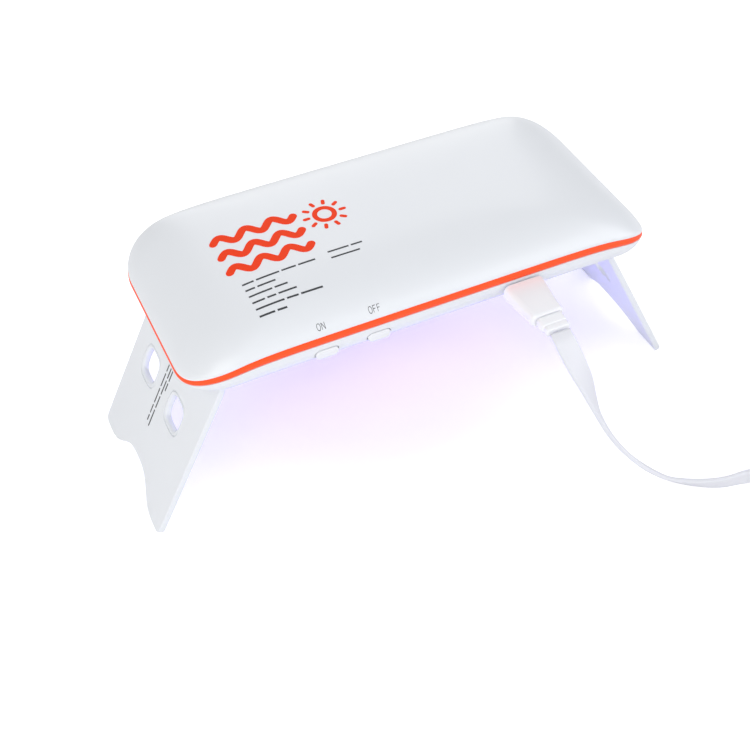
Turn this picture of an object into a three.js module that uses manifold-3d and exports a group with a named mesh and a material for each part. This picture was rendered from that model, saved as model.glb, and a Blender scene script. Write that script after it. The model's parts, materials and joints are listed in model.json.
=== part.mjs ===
// Foldable ultraviolet sterilising lamp: a slim drooping body on two hinged leg panels, fed by a flat cord.
// Millimetres, Z up, table top at zero, long axis along X, buttons and cord on the -Y side.
import * as THREE from "three";
import { mergeVertices } from "three/addons/utils/BufferGeometryUtils.js";
import Module from "manifold-3d";

const wasm = await Module();
wasm.setup();

// Body outline
const bodyHalfLength = 69.2;
const bodyHalfDepth = 31.8;
const cornerRadius = 14;
const cornerPower = 2.3;
const cornerSteps = 8;
const sideShares = [0.96, 0.88, 0.78, 0.66, 0.4, 0, -0.4, -0.66, -0.78, -0.88, -0.96];

// Heights and curves of the body
const lowerShellHeight = 7;
const bandHeight = 2.95;
const bandTaper = 1.3;
const taperPower = 6;
const crownHeight = 7;
const crownFullness = 3.9;
const crownRoundness = 1.45;
const endDroop = 6.3;
const droopPower = 9;
const lowerInset = 3.6;
const bandDepth = 2;
const bandBulge = 0.2;
const bandBulgeShare = 0.3;

// Walls and fits
const shellGap = 0.25;
const fit = 0.3;
const overrun = 1;
const crownWall = 1.8;
const sideWall = 1.6;
const floorWall = 1.8;
const cavityEndInset = 7.5;
const crownCavityEndInset = 7.2;
const crownCavitySideInset = 2.2;
const ribWall = 1.2;
const ribEndShare = 0.5;

// Legs
const legLean = THREE.MathUtils.degToRad(27);
const legThickness = 1.9;
const legHalfWidth = 25;
const hingeInset = 11.8;
const legMeetingGap = 0.4;
const legReach = bodyHalfLength - hingeInset - legMeetingGap;
const legBodyGap = 0.85;
const legEdgeRound = 0.45;
const footCornerShare = 0.155;
const footCornerRadius = legHalfWidth * footCornerShare;
const topCornerRadius = 3.4;
const archShare = 0.78;
const archHalfWidth = legHalfWidth * archShare;
const archRise = 6.9;
const archFlankShare = 0.92;
const archFlank = archHalfWidth * archFlankShare;
const windowOffsetShare = 0.41;
const windowOffset = legHalfWidth * windowOffsetShare;
const windowShiftShare = 0.06;
const windowShift = legHalfWidth * windowShiftShare;
const windowReach = 25.5;
const windowHalfWidth = 4.4;
const windowHalfHeight = 4.2;
const windowRim = 0.8;
const windowRimDepth = 0.8;
const windowSteps = 24;
const windowPower = 3.4;

// Hinges
const barrelRadius = 1.5;
const pinRadius = 0.7;
const pinInset = 4.1;
const pinHalfLength = legHalfWidth - pinInset;
const lugInset = 8;
const lugOffset = legHalfWidth - lugInset;
const lugHalfWidth = 3;
const lugRadius = 2.2;
const notchDepth = 3;
const heelLength = 3.6;
const heelDrop = 1.6;
const barrelSteps = 14;
const leafHalfLength = 5.6;
const leafHalfWidth = 3;
const leafRise = 1;
const leafThickness = 0.45;
const leafBendInner = 1.7;
const leafBendOuter = 3.3;

// Light window and reflector
const windowEndInset = 26.2;
const windowHalfLength = bodyHalfLength - windowEndInset;
const windowSideInset = 17.3;
const windowDepthHalf = bodyHalfDepth - windowSideInset;
const windowCentreY = 5.5;
const windowCornerRadius = 3;
const windowLedge = 1.2;
const windowLedgeHeight = 0.8;
const plateThickness = 0.7;
const fluteCount = 17;
const fluteDepth = 0.8;
const fluteSteps = 6;
const reflectorWall = 1;
const reflectorHeight = 3.2;
const reflectorEndShare = 0.82;
const emitterPitchShare = 0.772;
const emitterPitch = windowHalfLength * emitterPitchShare;
const emitterHalf = 1.75;
const emitterBore = 2.5;
const emitterDome = 1.3;
const emitterTaper = 0.7;
const emitterBase = 0.9;
const ledBoardEndInset = 2;
const ledBoardHalfLength = windowHalfLength - ledBoardEndInset;
const ledBoardHalfDepth = 8;
const boardThickness = 1.2;

// Front controls
const buttonLeftShare = -0.4624;
const buttonLeftX = bodyHalfLength * buttonLeftShare;
const buttonRightShare = -0.2486;
const buttonRightX = bodyHalfLength * buttonRightShare;
const buttonZShare = 0.54;
const buttonHalfWidth = 3.2;
const buttonHalfHeight = 1.45;
const buttonProud = 0.8;
const buttonGap = 0.25;
const buttonTravel = 0.5;
const buttonFlangeHalfWidth = 4.1;
const buttonFlangeRise = 0.85;
const buttonFlangeDepth = 0.6;
const buttonEdgeRound = 0.35;
const switchHalfWidth = 3;
const switchHeight = 2.5;
const switchDepth = 3.4;
const plungerHalfWidth = 0.9;
const plungerDepth = 0.5;
const plungerHeight = 1;
const controlBoardDepth = 11;
const socketShare = 0.3642;
const socketX = bodyHalfLength * socketShare;
const boardBeyondButton = 8;
const boardScrewGap = 4;
const controlBoardLeft = buttonLeftX - boardBeyondButton;
const socketHalfWidth = 4.1;
const socketHeight = 3;
const socketDepth = 5.8;
const socketSetback = 1.7;
const socketWall = 0.4;
const chipHalf = 3.5;
const chipHeight = 1;
const chipX = -4;
const inductorHalf = 3;
const inductorHeight = 2.6;
const inductorX = 9;
const linkWidth = 5;
const linkThickness = 0.5;
const linkX = -16;
const linkRise = 4;
const linkEndLength = 3;

// Case screws
const screwEndInset = 19.2;
const screwSideInset = 9.8;
const screwX = bodyHalfLength - screwEndInset;
const screwY = bodyHalfDepth - screwSideInset;
const screwHeadRadius = 1.8;
const screwHeadHeight = 1.1;
const screwShankRadius = 0.8;
const screwLength = 9;
const screwSeat = 0.9;
const bossRadius = 3.1;
const postRadius = 2.6;
const screwSteps = 14;

// Plugs of the cord
const gripNearHalfWidth = 5.9;
const gripFarHalfWidth = 4.9;
const gripNearHalfHeight = 2.4;
const gripFarHalfHeight = 2.1;
const gripLength = 13.6;
const gripShoulder = 1.2;
const gripCornerRadius = 1.6;
const gripStandOff = 0.35;
const tipHalfWidth = 3.3;
const tipHalfHeight = 0.85;
const tipReach = 7.6;
const tipSocket = 2;
const reliefLength = 5.4;
const reliefHalfWidth = 3.6;
const reliefHalfHeight = 1.5;
const reliefNeck = 0.5;
const reliefRibs = 3;
const reliefRibShare = 0.62;
const reliefNeckStart = 0.66;
const reliefNeckEnd = 0.96;
const farGripHalfWidth = 8;
const farGripHalfHeight = 3.75;
const farGripLength = 24;
const farGripCorner = 2.4;
const farGripShoulder = 3;
const farShellHalfWidth = 6;
const farShellHalfHeight = 2.25;
const farShellLength = 18.4;
const farShellWall = 0.4;
const farShellRoot = 6;
const farTongueHalfWidth = 5.2;
const farTongueThickness = 1.8;
const farPlugY = -54;

// Cord
const cordWidth = 6;
const cordThickness = 1.8;
const cordRound = 0.6;
const cordRestHeight = 0.95;
const cordSteps = 60;
const tailSteps = 16;
const coilX = 131;
const coilY = -84;
const coilOuterRadius = 36.7;
const coilPitch = 3.2;
const coilTurnsPerLayer = 1.675;
const coilStartTurn = 0.65;
const coilLayerStep = 7;
const coilLift = 0.8;
const coilStepsPerTurn = 24;
const coilLayers = 2;
const tieWidth = 6;
const tieThickness = 0.5;
const tieGap = 0.3;

// Derived places
const hingeX = legReach + legMeetingGap;
const hingeZ = legReach * Math.cos(legLean) - (legThickness / 2) * Math.sin(legLean);
const underside = hingeZ + legThickness / 2 + legBodyGap;
const floorTop = underside + floorWall;
const bandBottom = underside + lowerShellHeight;
const crownBase = bandBottom + bandHeight;
const shellTop = bandBottom - shellGap;
const crownFoot = crownBase + shellGap;
const buttonZ = shellTop - (shellTop - underside) * buttonZShare;
const wallAtButtons = -bodyHalfDepth + lowerInset * curveInset(buttonZShare);
const wallInside = wallAtButtons + sideWall;
const socketZ = floorTop + fit + socketHeight / 2;
const controlBoardZ = floorTop + fit + socketHeight + fit;
const controlBoardRight = screwX - boardScrewGap;
const controlBoardFront = wallInside + fit + buttonFlangeDepth + buttonTravel + fit;
const plateZ = underside + windowLedgeHeight + fit;
const reflectorZ = floorTop + fit;
const ledBoardZ = reflectorZ + reflectorHeight + fit;
const plateHalfLength = windowHalfLength + windowLedge;
const plateHalfDepth = windowDepthHalf + windowLedge;
const gripFace = -bodyHalfDepth - gripStandOff;

// Finishes
const shellWhite = finish(0xe9ecf0, 0.32, 0);
const bandOrange = finish(0xff5a2a, 0.45, 0);
const buttonWhite = finish(0xf2f3f4, 0.35, 0);
const clearWindow = finish(0xd8d6ee, 0.08, 0);
const brightMetal = finish(0xc9ccd0, 0.25, 1);
const steel = finish(0x9a9da2, 0.3, 1);
const boardGreen = finish(0x1f5b3a, 0.5, 0);
const blackPlastic = finish(0x1a1a1c, 0.5, 0);
const emitterCeramic = finish(0xb9a6ff, 0.3, 0);
const cordWhite = finish(0xeeeeee, 0.55, 0);

function finish(color, roughness, metalness) {
  return new THREE.MeshStandardMaterial({ color, roughness, metalness });
}

const lamp = new THREE.Group();
lamp.name = "uv_sterilization_lamp";

// Solids and meshes
function solid(geometry) {
  const bare = geometry.clone();
  bare.deleteAttribute("normal");
  bare.deleteAttribute("uv");
  const merged = mergeVertices(bare, 1e-4);
  const triVerts = new Uint32Array(merged.index.array);
  const vertProperties = merged.attributes.position.array;
  const made = new wasm.Manifold(new wasm.Mesh({ numProp: 3, vertProperties, triVerts }));
  if (made.volume() > 0) return made;
  for (let i = 0; i < triVerts.length; i += 3) {
    [triVerts[i + 1], triVerts[i + 2]] = [triVerts[i + 2], triVerts[i + 1]];
  }
  return new wasm.Manifold(new wasm.Mesh({ numProp: 3, vertProperties, triVerts }));
}

function geometryOf(body) {
  const mesh = body.getMesh();
  const stride = mesh.numProp;
  const places = new Float32Array(mesh.numVert * 3);
  for (let i = 0; i < mesh.numVert; i += 1) {
    places.set(mesh.vertProperties.subarray(i * stride, i * stride + 3), i * 3);
  }
  const geometry = new THREE.BufferGeometry();
  geometry.setAttribute("position", new THREE.BufferAttribute(places, 3));
  geometry.setIndex(new THREE.BufferAttribute(new Uint32Array(mesh.triVerts), 1));
  geometry.computeVertexNormals();
  return geometry;
}

function keep(name, body, material) {
  const mesh = new THREE.Mesh(geometryOf(body), material);
  mesh.name = name;
  lamp.add(mesh);
  return mesh;
}

function joined(bodies) {
  return bodies.reduce((whole, body) => whole.add(body));
}

function without(body, cutters) {
  return cutters.reduce((left, cutter) => left.subtract(cutter), body);
}

// Basic shapes
function block(x0, x1, y0, y1, z0, z1) {
  const geometry = new THREE.BoxGeometry(x1 - x0, y1 - y0, z1 - z0);
  geometry.translate((x0 + x1) / 2, (y0 + y1) / 2, (z0 + z1) / 2);
  return solid(geometry);
}

// Block about a centre in X and Y, given by its half sizes.
function blockAt(x, y, halfX, halfY, z0, z1) {
  return block(x - halfX, x + halfX, y - halfY, y + halfY, z0, z1);
}

function rodAlongZ(x, y, z0, z1, radius, steps) {
  const geometry = new THREE.CylinderGeometry(radius, radius, z1 - z0, steps);
  geometry.rotateX(Math.PI / 2);
  geometry.translate(x, y, (z0 + z1) / 2);
  return solid(geometry);
}

function rodAlongY(x, z, y0, y1, radius, steps) {
  const geometry = new THREE.CylinderGeometry(radius, radius, y1 - y0, steps);
  geometry.translate(x, (y0 + y1) / 2, z);
  return solid(geometry);
}

function shapeOf(points) {
  return new THREE.Shape(points.map(([a, b]) => new THREE.Vector2(a, b)));
}

function extruded(shape, depth, options = {}) {
  return new THREE.ExtrudeGeometry(shape, { depth, steps: 1, bevelEnabled: false, ...options });
}

// A shape drawn in Y and Z, pushed along X.
function alongX(shape, x0, x1, options) {
  const geometry = extruded(shape, x1 - x0, options);
  const turned = new THREE.Matrix4().makeBasis(
    new THREE.Vector3(0, 1, 0),
    new THREE.Vector3(0, 0, 1),
    new THREE.Vector3(1, 0, 0),
  );
  geometry.applyMatrix4(turned);
  geometry.translate(x0, 0, 0);
  return geometry;
}

// A shape drawn in X and Z, pushed along Y.
function alongY(shape, y0, y1, options) {
  const geometry = extruded(shape, y1 - y0, options);
  geometry.rotateX(Math.PI / 2);
  geometry.translate(0, y1, 0);
  return geometry;
}

function alongZ(shape, z0, z1) {
  const geometry = extruded(shape, z1 - z0);
  geometry.translate(0, 0, z0);
  return geometry;
}

// Rounded rectangle about a centre, given by its half sizes.
function softRectangle(centreA, centreB, halfA, halfB, radius, steps = 4) {
  const points = [];
  const corners = [[1, -1, -1], [1, 1, 0], [-1, 1, 1], [-1, -1, 2]];
  for (const [signA, signB, quarter] of corners) {
    for (let i = 0; i <= steps; i += 1) {
      const angle = (quarter + i / steps) * (Math.PI / 2);
      const a = centreA + signA * (halfA - radius) + radius * Math.cos(angle);
      const b = centreB + signB * (halfB - radius) + radius * Math.sin(angle);
      points.push([a, b]);
    }
  }
  return points;
}

// Superellipse about a centre.
function squircle(centreA, centreB, halfA, halfB) {
  const points = [];
  for (let i = 0; i < windowSteps; i += 1) {
    const angle = (i / windowSteps) * Math.PI * 2;
    const c = Math.cos(angle);
    const s = Math.sin(angle);
    const a = centreA + halfA * Math.sign(c) * Math.abs(c) ** (2 / windowPower);
    const b = centreB + halfB * Math.sign(s) * Math.abs(s) ** (2 / windowPower);
    points.push([a, b]);
  }
  return points;
}

// Closed surface through a row of rings; open rows are closed by a fan at each end.
function skin(rings, looped = false) {
  const count = rings[0].length;
  const places = rings.flat();
  const faces = [];
  const spans = looped ? rings.length : rings.length - 1;
  for (let row = 0; row < spans; row += 1) {
    const here = row * count;
    const next = ((row + 1) % rings.length) * count;
    for (let i = 0; i < count; i += 1) {
      const j = (i + 1) % count;
      faces.push(here + i, here + j, next + j, here + i, next + j, next + i);
    }
  }
  if (!looped) {
    closeRing(places, faces, rings[0], 0, true);
    closeRing(places, faces, rings[rings.length - 1], (rings.length - 1) * count, false);
  }
  const geometry = new THREE.BufferGeometry();
  const values = places.flatMap((p) => [p.x, p.y, p.z]);
  geometry.setAttribute("position", new THREE.Float32BufferAttribute(values, 3));
  geometry.setIndex(faces);
  return solid(geometry);
}

function closeRing(places, faces, ring, start, turned) {
  const centre = ring.reduce((sum, p) => sum.add(p), new THREE.Vector3()).divideScalar(ring.length);
  const hub = places.length;
  places.push(centre);
  ring.forEach((_, i) => {
    const j = (i + 1) % ring.length;
    if (turned) faces.push(hub, start + j, start + i);
    else faces.push(hub, start + i, start + j);
  });
}

// Body outline and its curves
function outline(endInset = 0, sideInset = endInset, scale = 1) {
  const halfLength = bodyHalfLength - endInset;
  const halfDepth = bodyHalfDepth - sideInset;
  const radius = cornerRadius - sideInset;
  const straight = halfLength - radius;
  const points = [];
  const corner = (signX, signY, quarter) => {
    for (let i = 0; i <= cornerSteps; i += 1) {
      const angle = (quarter + i / cornerSteps) * (Math.PI / 2);
      const c = Math.cos(angle);
      const s = Math.sin(angle);
      const x = signX * straight + radius * Math.sign(c) * Math.abs(c) ** (2 / cornerPower);
      const y = signY * (halfDepth - radius) + radius * Math.sign(s) * Math.abs(s) ** (2 / cornerPower);
      points.push([x * scale, y * scale]);
    }
  };
  const side = (sign) => {
    for (const share of sideShares) {
      points.push([-sign * share * straight * scale, sign * -halfDepth * scale]);
    }
  };
  corner(1, -1, -1);
  corner(1, 1, 0);
  side(-1);
  corner(-1, 1, 1);
  corner(-1, -1, 2);
  side(1);
  return points;
}

function droopAt(x) {
  return endDroop * Math.abs(x / bodyHalfLength) ** droopPower;
}

function curveInset(share) {
  return 1 - Math.sqrt(1 - share * share);
}

function crownAt(scale) {
  return crownHeight * (1 - scale ** crownFullness) ** (1 / crownRoundness);
}

function droopedRing(points, z) {
  return points.map(([x, y]) => new THREE.Vector3(x, y, z - droopAt(x)));
}

// Height that the trim band loses towards the two ends
function taperAt(x) {
  return bandTaper * Math.abs(x / bodyHalfLength) ** taperPower;
}

// Ring that follows the top edge of the trim band
function crownRing(points, z) {
  return points.map(([x, y]) => new THREE.Vector3(x, y, z - droopAt(x) - taperAt(x)));
}

// Ring of the trim band at a share of its own height
function bandRing(points, share) {
  return points.map(([x, y]) => {
    const height = bandHeight - taperAt(x);
    return new THREE.Vector3(x, y, bandBottom - droopAt(x) + height * share);
  });
}

function flatRing(points, z) {
  return points.map(([x, y]) => new THREE.Vector3(x, y, z));
}

// Shares of the outline at which the drooping faces inside the body are drawn.
const fillShares = [0.93, 0.86, 0.6, 0.25];
const crownShares = [0.992, 0.98, 0.962, 0.935, 0.9, 0.85, 0.78, 0.68, 0.54, 0.36, 0.16];
const cavityShares = [1, 0.96, 0.88, 0.74, 0.5, 0.2];
const wallShares = [0, 0.35, 0.6, 0.78, 0.9, 0.97, 1];

// One ring of the lower wall: it leaves the band upright and rounds in to the flat underside.
function lowerRing(share, wall, top, bottom, endInset = 0) {
  const outer = outline(endInset + wall, wall);
  const inner = outline(endInset + wall + lowerInset, wall + lowerInset);
  return outer.map(([x, y], i) => {
    const [innerX, innerY] = inner[i];
    const height = top - droopAt(x) - bottom;
    const blend = curveInset(share) * Math.sqrt(Math.max(height, 0) / lowerShellHeight);
    const px = x + (innerX - x) * blend;
    const py = y + (innerY - y) * blend;
    return new THREE.Vector3(px, py, bottom + height * (1 - share));
  });
}

// Trim band
function buildBand() {
  const section = [
    [0, 0],
    [-bandBulge, bandBulgeShare],
    [-bandBulge, 1 - bandBulgeShare],
    [0, 1],
    [bandDepth, 1],
    [bandDepth, 0],
  ];
  const rings = section.map(([inset, share]) => bandRing(outline(inset), share));
  keep("trim_band", skin(rings, true), bandOrange);
}

// Top cover
function crownBlock() {
  const rings = fillShares.toReversed().map((share) => crownRing(outline(0, 0, share), crownFoot));
  rings.push(crownRing(outline(bandDepth), crownFoot));
  rings.push(crownRing(outline(), crownFoot));
  for (const share of crownShares) rings.push(crownRing(outline(0, 0, share), crownFoot + crownAt(share)));
  return skin(rings);
}

function crownCavity() {
  const sideShare = (bodyHalfDepth - crownCavitySideInset) / bodyHalfDepth;
  const points = (share) => outline(crownCavityEndInset, crownCavitySideInset, share);
  const rings = [crownRing(points(1), crownFoot - lowerShellHeight)];
  for (const share of cavityShares) {
    const ceiling = crownFoot + crownAt(share * sideShare) - crownWall;
    rings.push(crownRing(points(share), ceiling));
  }
  return skin(rings);
}

function screwPlaces() {
  return [
    ["front_left", -screwX, -screwY],
    ["front_right", screwX, -screwY],
    ["rear_left", -screwX, screwY],
    ["rear_right", screwX, screwY],
  ];
}

const bossTop = underside + screwHeadHeight + fit + screwSeat + fit;
const postBottom = bossTop + fit;

function buildTopShell() {
  const cover = crownBlock();
  const shell = cover.subtract(crownCavity());
  const parts = [];
  for (const [, x, y] of screwPlaces()) {
    const post = rodAlongZ(x, y, postBottom, crownFoot + crownHeight, postRadius, screwSteps);
    const below = rodAlongZ(x, y, postBottom, crownFoot, postRadius, screwSteps);
    parts.push(post.intersect(cover.add(below)));
  }
  const ribTop = crownFoot + crownAt(ribEndShare);
  const lengthRib = block(-screwX, screwX, -ribWall / 2, ribWall / 2, ribTop - crownWall - crownWall, ribTop);
  parts.push(lengthRib.intersect(cover));
  const whole = joined([shell, ...parts]);
  const bores = screwPlaces().map(([, x, y]) => {
    const bore = screwShankRadius + fit;
    return rodAlongZ(x, y, postBottom - overrun, underside + screwLength + fit, bore, screwSteps);
  });
  keep("top_shell", without(whole, bores), shellWhite);
}

// Bottom shell
function lowerBlock() {
  const rings = [];
  for (const share of wallShares.toReversed()) rings.push(lowerRing(share, 0, shellTop, underside));
  rings.push(droopedRing(outline(bandDepth), shellTop));
  for (const share of fillShares) rings.push(droopedRing(outline(0, 0, share), shellTop));
  return skin(rings);
}

function lowerCavity() {
  const rings = [];
  const endInset = cavityEndInset - sideWall;
  for (const share of wallShares.toReversed()) {
    rings.push(lowerRing(share, sideWall, shellTop, floorTop, endInset));
  }
  const top = outline(cavityEndInset, sideWall);
  rings.push(flatRing(top, shellTop + overrun));
  return skin(rings);
}

function lugs(side) {
  return [-1, 1].map((end) => {
    const y0 = end * lugOffset - lugHalfWidth;
    const y1 = end * lugOffset + lugHalfWidth;
    const x = side * hingeX;
    const round = rodAlongY(x, hingeZ, y0, y1, lugRadius, barrelSteps);
    const root = block(x - lugRadius, x + lugRadius, y0, y1, hingeZ, underside + floorWall / 2);
    return round.add(root);
  });
}

function leafPocket(side) {
  const x = side * hingeX;
  const reach = leafHalfLength + fit;
  const width = leafHalfWidth + fit;
  return block(x - reach, x + reach, -width, width, underside - overrun, underside + leafRise + fit);
}

function pillShape(x, z, halfWidth, halfHeight) {
  return shapeOf(softRectangle(x, z, halfWidth, halfHeight, halfHeight - buttonGap / 2, 6));
}

function buttonHole(x) {
  const shape = pillShape(x, buttonZ, buttonHalfWidth + buttonGap, buttonHalfHeight + buttonGap);
  const end = wallInside + fit + buttonFlangeDepth + buttonTravel + fit;
  return solid(alongY(shape, wallAtButtons - lowerInset, end));
}

function windowCut(growth, z0, z1) {
  const halfA = windowHalfLength + growth;
  const halfB = windowDepthHalf + growth;
  const points = softRectangle(0, windowCentreY, halfA, halfB, windowCornerRadius);
  return solid(alongZ(shapeOf(points), z0, z1));
}

function buildBottomShell() {
  const pieces = [lowerBlock().subtract(lowerCavity())];
  for (const side of [-1, 1]) pieces.push(...lugs(side));
  for (const [, x, y] of screwPlaces()) {
    pieces.push(rodAlongZ(x, y, underside, bossTop, bossRadius, screwSteps));
  }
  const ribBack = controlBoardFront + controlBoardDepth;
  for (const x of boardRibPlaces()) {
    pieces.push(block(x - ribWall, x, controlBoardFront, ribBack, underside, controlBoardZ - fit));
  }
  const cutters = [
    windowCut(0, underside - overrun, floorTop + overrun),
    windowCut(windowLedge + fit, underside + windowLedgeHeight, floorTop + overrun),
    buttonHole(buttonLeftX),
    buttonHole(buttonRightX),
    socketHole(),
  ];
  for (const side of [-1, 1]) {
    cutters.push(leafPocket(side));
    cutters.push(rodAlongY(side * hingeX, hingeZ, -legHalfWidth, legHalfWidth, pinRadius + fit, barrelSteps));
  }
  for (const [, x, y] of screwPlaces()) {
    const seat = underside + screwHeadHeight + fit;
    cutters.push(rodAlongZ(x, y, underside - overrun, seat, screwHeadRadius + fit, screwSteps));
    cutters.push(rodAlongZ(x, y, underside - overrun, bossTop + overrun, screwShankRadius + fit, screwSteps));
  }
  keep("bottom_shell", without(joined(pieces), cutters), shellWhite);
}

function boardRibPlaces() {
  return [controlBoardLeft + ribWall + ribWall, chipX, controlBoardRight - ribWall];
}

function socketHole() {
  const halfWidth = tipHalfWidth + fit + fit;
  const halfHeight = tipHalfHeight + fit + fit;
  const y0 = wallAtButtons - lowerInset;
  const y1 = wallInside + socketSetback + overrun;
  return block(socketX - halfWidth, socketX + halfWidth, y0, y1, socketZ - halfHeight, socketZ + halfHeight);
}

// Clear plate, reflector and emitters
function buildLight() {
  const plate = softRectangle(0, windowCentreY, plateHalfLength, plateHalfDepth, windowCornerRadius);
  keep("window_plate", solid(alongZ(shapeOf(plate), plateZ, plateZ + plateThickness)), clearWindow);
  keep("reflector", reflector(), brightMetal);
  const z0 = ledBoardZ;
  const z1 = ledBoardZ + boardThickness;
  const y0 = windowCentreY - ledBoardHalfDepth;
  const y1 = windowCentreY + ledBoardHalfDepth;
  keep("led_board", block(-ledBoardHalfLength, ledBoardHalfLength, y0, y1, z0, z1), boardGreen);
  emitterPlaces().forEach(([name, x]) => keep(name, emitter(x), emitterCeramic));
}

function emitterPlaces() {
  return [
    ["uvc_led_left", -emitterPitch],
    ["uvc_led_middle", 0],
    ["uvc_led_right", emitterPitch],
  ];
}

// Fluted reflector pan: a scalloped roof with sloping ends, closed front and back, one hole for each emitter.
function reflector() {
  const halfLength = plateHalfLength;
  const innerHalf = halfLength - reflectorWall;
  const top = reflectorZ + reflectorHeight;
  const roof = top - reflectorWall;
  const points = [[-innerHalf, reflectorZ - overrun], [-innerHalf, reflectorZ]];
  const fluted = innerHalf * reflectorEndShare;
  const pitch = (fluted + fluted) / fluteCount;
  for (let i = 0; i < fluteCount * fluteSteps; i += 1) {
    const turn = (i / fluteSteps) * Math.PI;
    const z = roof - fluteDepth + fluteDepth * Math.abs(Math.sin(turn));
    points.push([-fluted + (pitch * i) / fluteSteps, z]);
  }
  points.push([fluted, roof - fluteDepth], [innerHalf, reflectorZ], [innerHalf, reflectorZ - overrun]);
  const y0 = windowCentreY - plateHalfDepth;
  const y1 = windowCentreY + plateHalfDepth;
  const hollow = solid(alongY(shapeOf(points), y0 + reflectorWall, y1 - reflectorWall));
  const bores = emitterPlaces().map(([, x]) => {
    const z0 = roof - fluteDepth - overrun;
    return blockAt(x, windowCentreY, emitterBore, emitterBore, z0, top + overrun);
  });
  return without(block(-halfLength, halfLength, y0, y1, reflectorZ, top), [hollow, ...bores]);
}

function emitter(x) {
  const top = ledBoardZ - fit;
  const base = blockAt(x, windowCentreY, emitterHalf, emitterHalf, top - emitterBase, top);
  const lens = new THREE.CylinderGeometry(emitterDome, emitterDome * emitterTaper, emitterBase, barrelSteps);
  lens.rotateX(Math.PI / 2);
  lens.translate(x, windowCentreY, top - emitterBase - emitterBase / 4);
  return base.add(solid(lens));
}

// Control board and what hangs on it
function buildControls() {
  const y0 = controlBoardFront;
  const y1 = controlBoardFront + controlBoardDepth;
  const z0 = controlBoardZ;
  const z1 = controlBoardZ + boardThickness;
  keep("control_board", block(controlBoardLeft, controlBoardRight, y0, y1, z0, z1), boardGreen);
  const switches = [["switch_left", buttonLeftX], ["switch_right", buttonRightX]];
  switches.forEach(([name, x]) => keep(name, pushSwitch(x), blackPlastic));
  keep("usb_socket", socket(), steel);
  const middle = (y0 + y1) / 2;
  const chipZ = z1 + fit;
  const chip = blockAt(chipX, middle, chipHalf, chipHalf, chipZ, chipZ + chipHeight);
  keep("control_chip", chip, blackPlastic);
  const coilShape = shapeOf(softRectangle(inductorX, middle, inductorHalf, inductorHalf, ribWall));
  keep("drive_inductor", solid(alongZ(coilShape, chipZ, chipZ + inductorHeight)), blackPlastic);
  keep("board_link", boardLink(), cordWhite);
}

const switchFront = wallInside + buttonFlangeDepth + fit + buttonTravel + fit;

function pushSwitch(x) {
  const top = controlBoardZ - fit;
  const y0 = switchFront + plungerDepth;
  const body = block(x - switchHalfWidth, x + switchHalfWidth, y0, y0 + switchDepth, top - switchHeight, top);
  const z0 = buttonZ - plungerHeight / 2;
  const z1 = buttonZ + plungerHeight / 2;
  return body.add(block(x - plungerHalfWidth, x + plungerHalfWidth, switchFront, y0 + overrun, z0, z1));
}

function socket() {
  const y0 = wallInside + fit + socketSetback;
  const y1 = y0 + socketDepth;
  const half = socketHeight / 2;
  const outer = softRectangle(socketX, socketZ, socketHalfWidth, half, ribWall);
  const innerHalf = socketHalfWidth - socketWall;
  const inner = softRectangle(socketX, socketZ, innerHalf, half - socketWall, ribWall - socketWall);
  const shell = solid(alongY(shapeOf(outer), y0, y1));
  return shell.subtract(solid(alongY(shapeOf(inner), y0 - overrun, y1 - socketWall)));
}

// Flexible lead that arches from the control board to the LED board.
function boardLink() {
  const y0 = controlBoardFront + controlBoardDepth - linkEndLength;
  const y1 = windowCentreY - ledBoardHalfDepth + linkEndLength;
  const z0 = controlBoardZ + boardThickness + fit;
  const z1 = ledBoardZ + boardThickness + fit;
  const middle = (y0 + linkEndLength + y1 - linkEndLength) / 2;
  const lower = [
    [y0, z0],
    [y0 + linkEndLength, z0],
    [middle - linkEndLength / 2, z0 + linkRise],
    [middle + linkEndLength / 2, z0 + linkRise],
    [y1 - linkEndLength, z1],
    [y1, z1],
  ];
  const upper = lower.toReversed().map(([y, z]) => [y, z + linkThickness]);
  return solid(alongX(shapeOf([...lower, ...upper]), linkX, linkX + linkWidth));
}

// Buttons
function buildButton(name, x) {
  const y0 = wallAtButtons - buttonProud;
  const y1 = wallInside + fit + buttonFlangeDepth;
  const round = buttonEdgeRound;
  const face = pillShape(x, buttonZ, buttonHalfWidth - round, buttonHalfHeight - round);
  const cap = alongY(face, y0 + round, y1 - round, {
    bevelEnabled: true,
    bevelSize: round,
    bevelThickness: round,
    bevelSegments: 2,
  });
  const z0 = buttonZ + buttonFlangeRise;
  const z1 = controlBoardZ - fit;
  const half = buttonFlangeHalfWidth;
  const flange = block(x - half, x + half, y1 - buttonFlangeDepth, y1, z0, z1);
  keep(name, solid(cap).add(flange), buttonWhite);
}

// Legs
function legShape() {
  const bottom = -legReach - legEdgeRound;
  const half = legHalfWidth - legEdgeRound;
  const rise = -legReach + archRise + legEdgeRound;
  const top = -legEdgeRound;
  const start = -archHalfWidth;
  const end = archHalfWidth;
  const bend = archFlank / 2;
  const shape = new THREE.Shape();
  shape.moveTo(-half + topCornerRadius, top);
  shape.quadraticCurveTo(-half, top, -half, top - topCornerRadius);
  shape.lineTo(-half, bottom + footCornerRadius);
  shape.quadraticCurveTo(-half, bottom, -half + footCornerRadius, bottom);
  shape.lineTo(start, bottom);
  shape.bezierCurveTo(start + bend, bottom, start + bend, rise, start + archFlank, rise);
  shape.lineTo(end - archFlank, rise);
  shape.bezierCurveTo(end - bend, rise, end - bend, bottom, end, bottom);
  shape.lineTo(half - footCornerRadius, bottom);
  shape.quadraticCurveTo(half, bottom, half, bottom + footCornerRadius);
  shape.lineTo(half, top - topCornerRadius);
  shape.quadraticCurveTo(half, top, half - topCornerRadius, top);
  shape.closePath();
  return shape;
}

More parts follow.
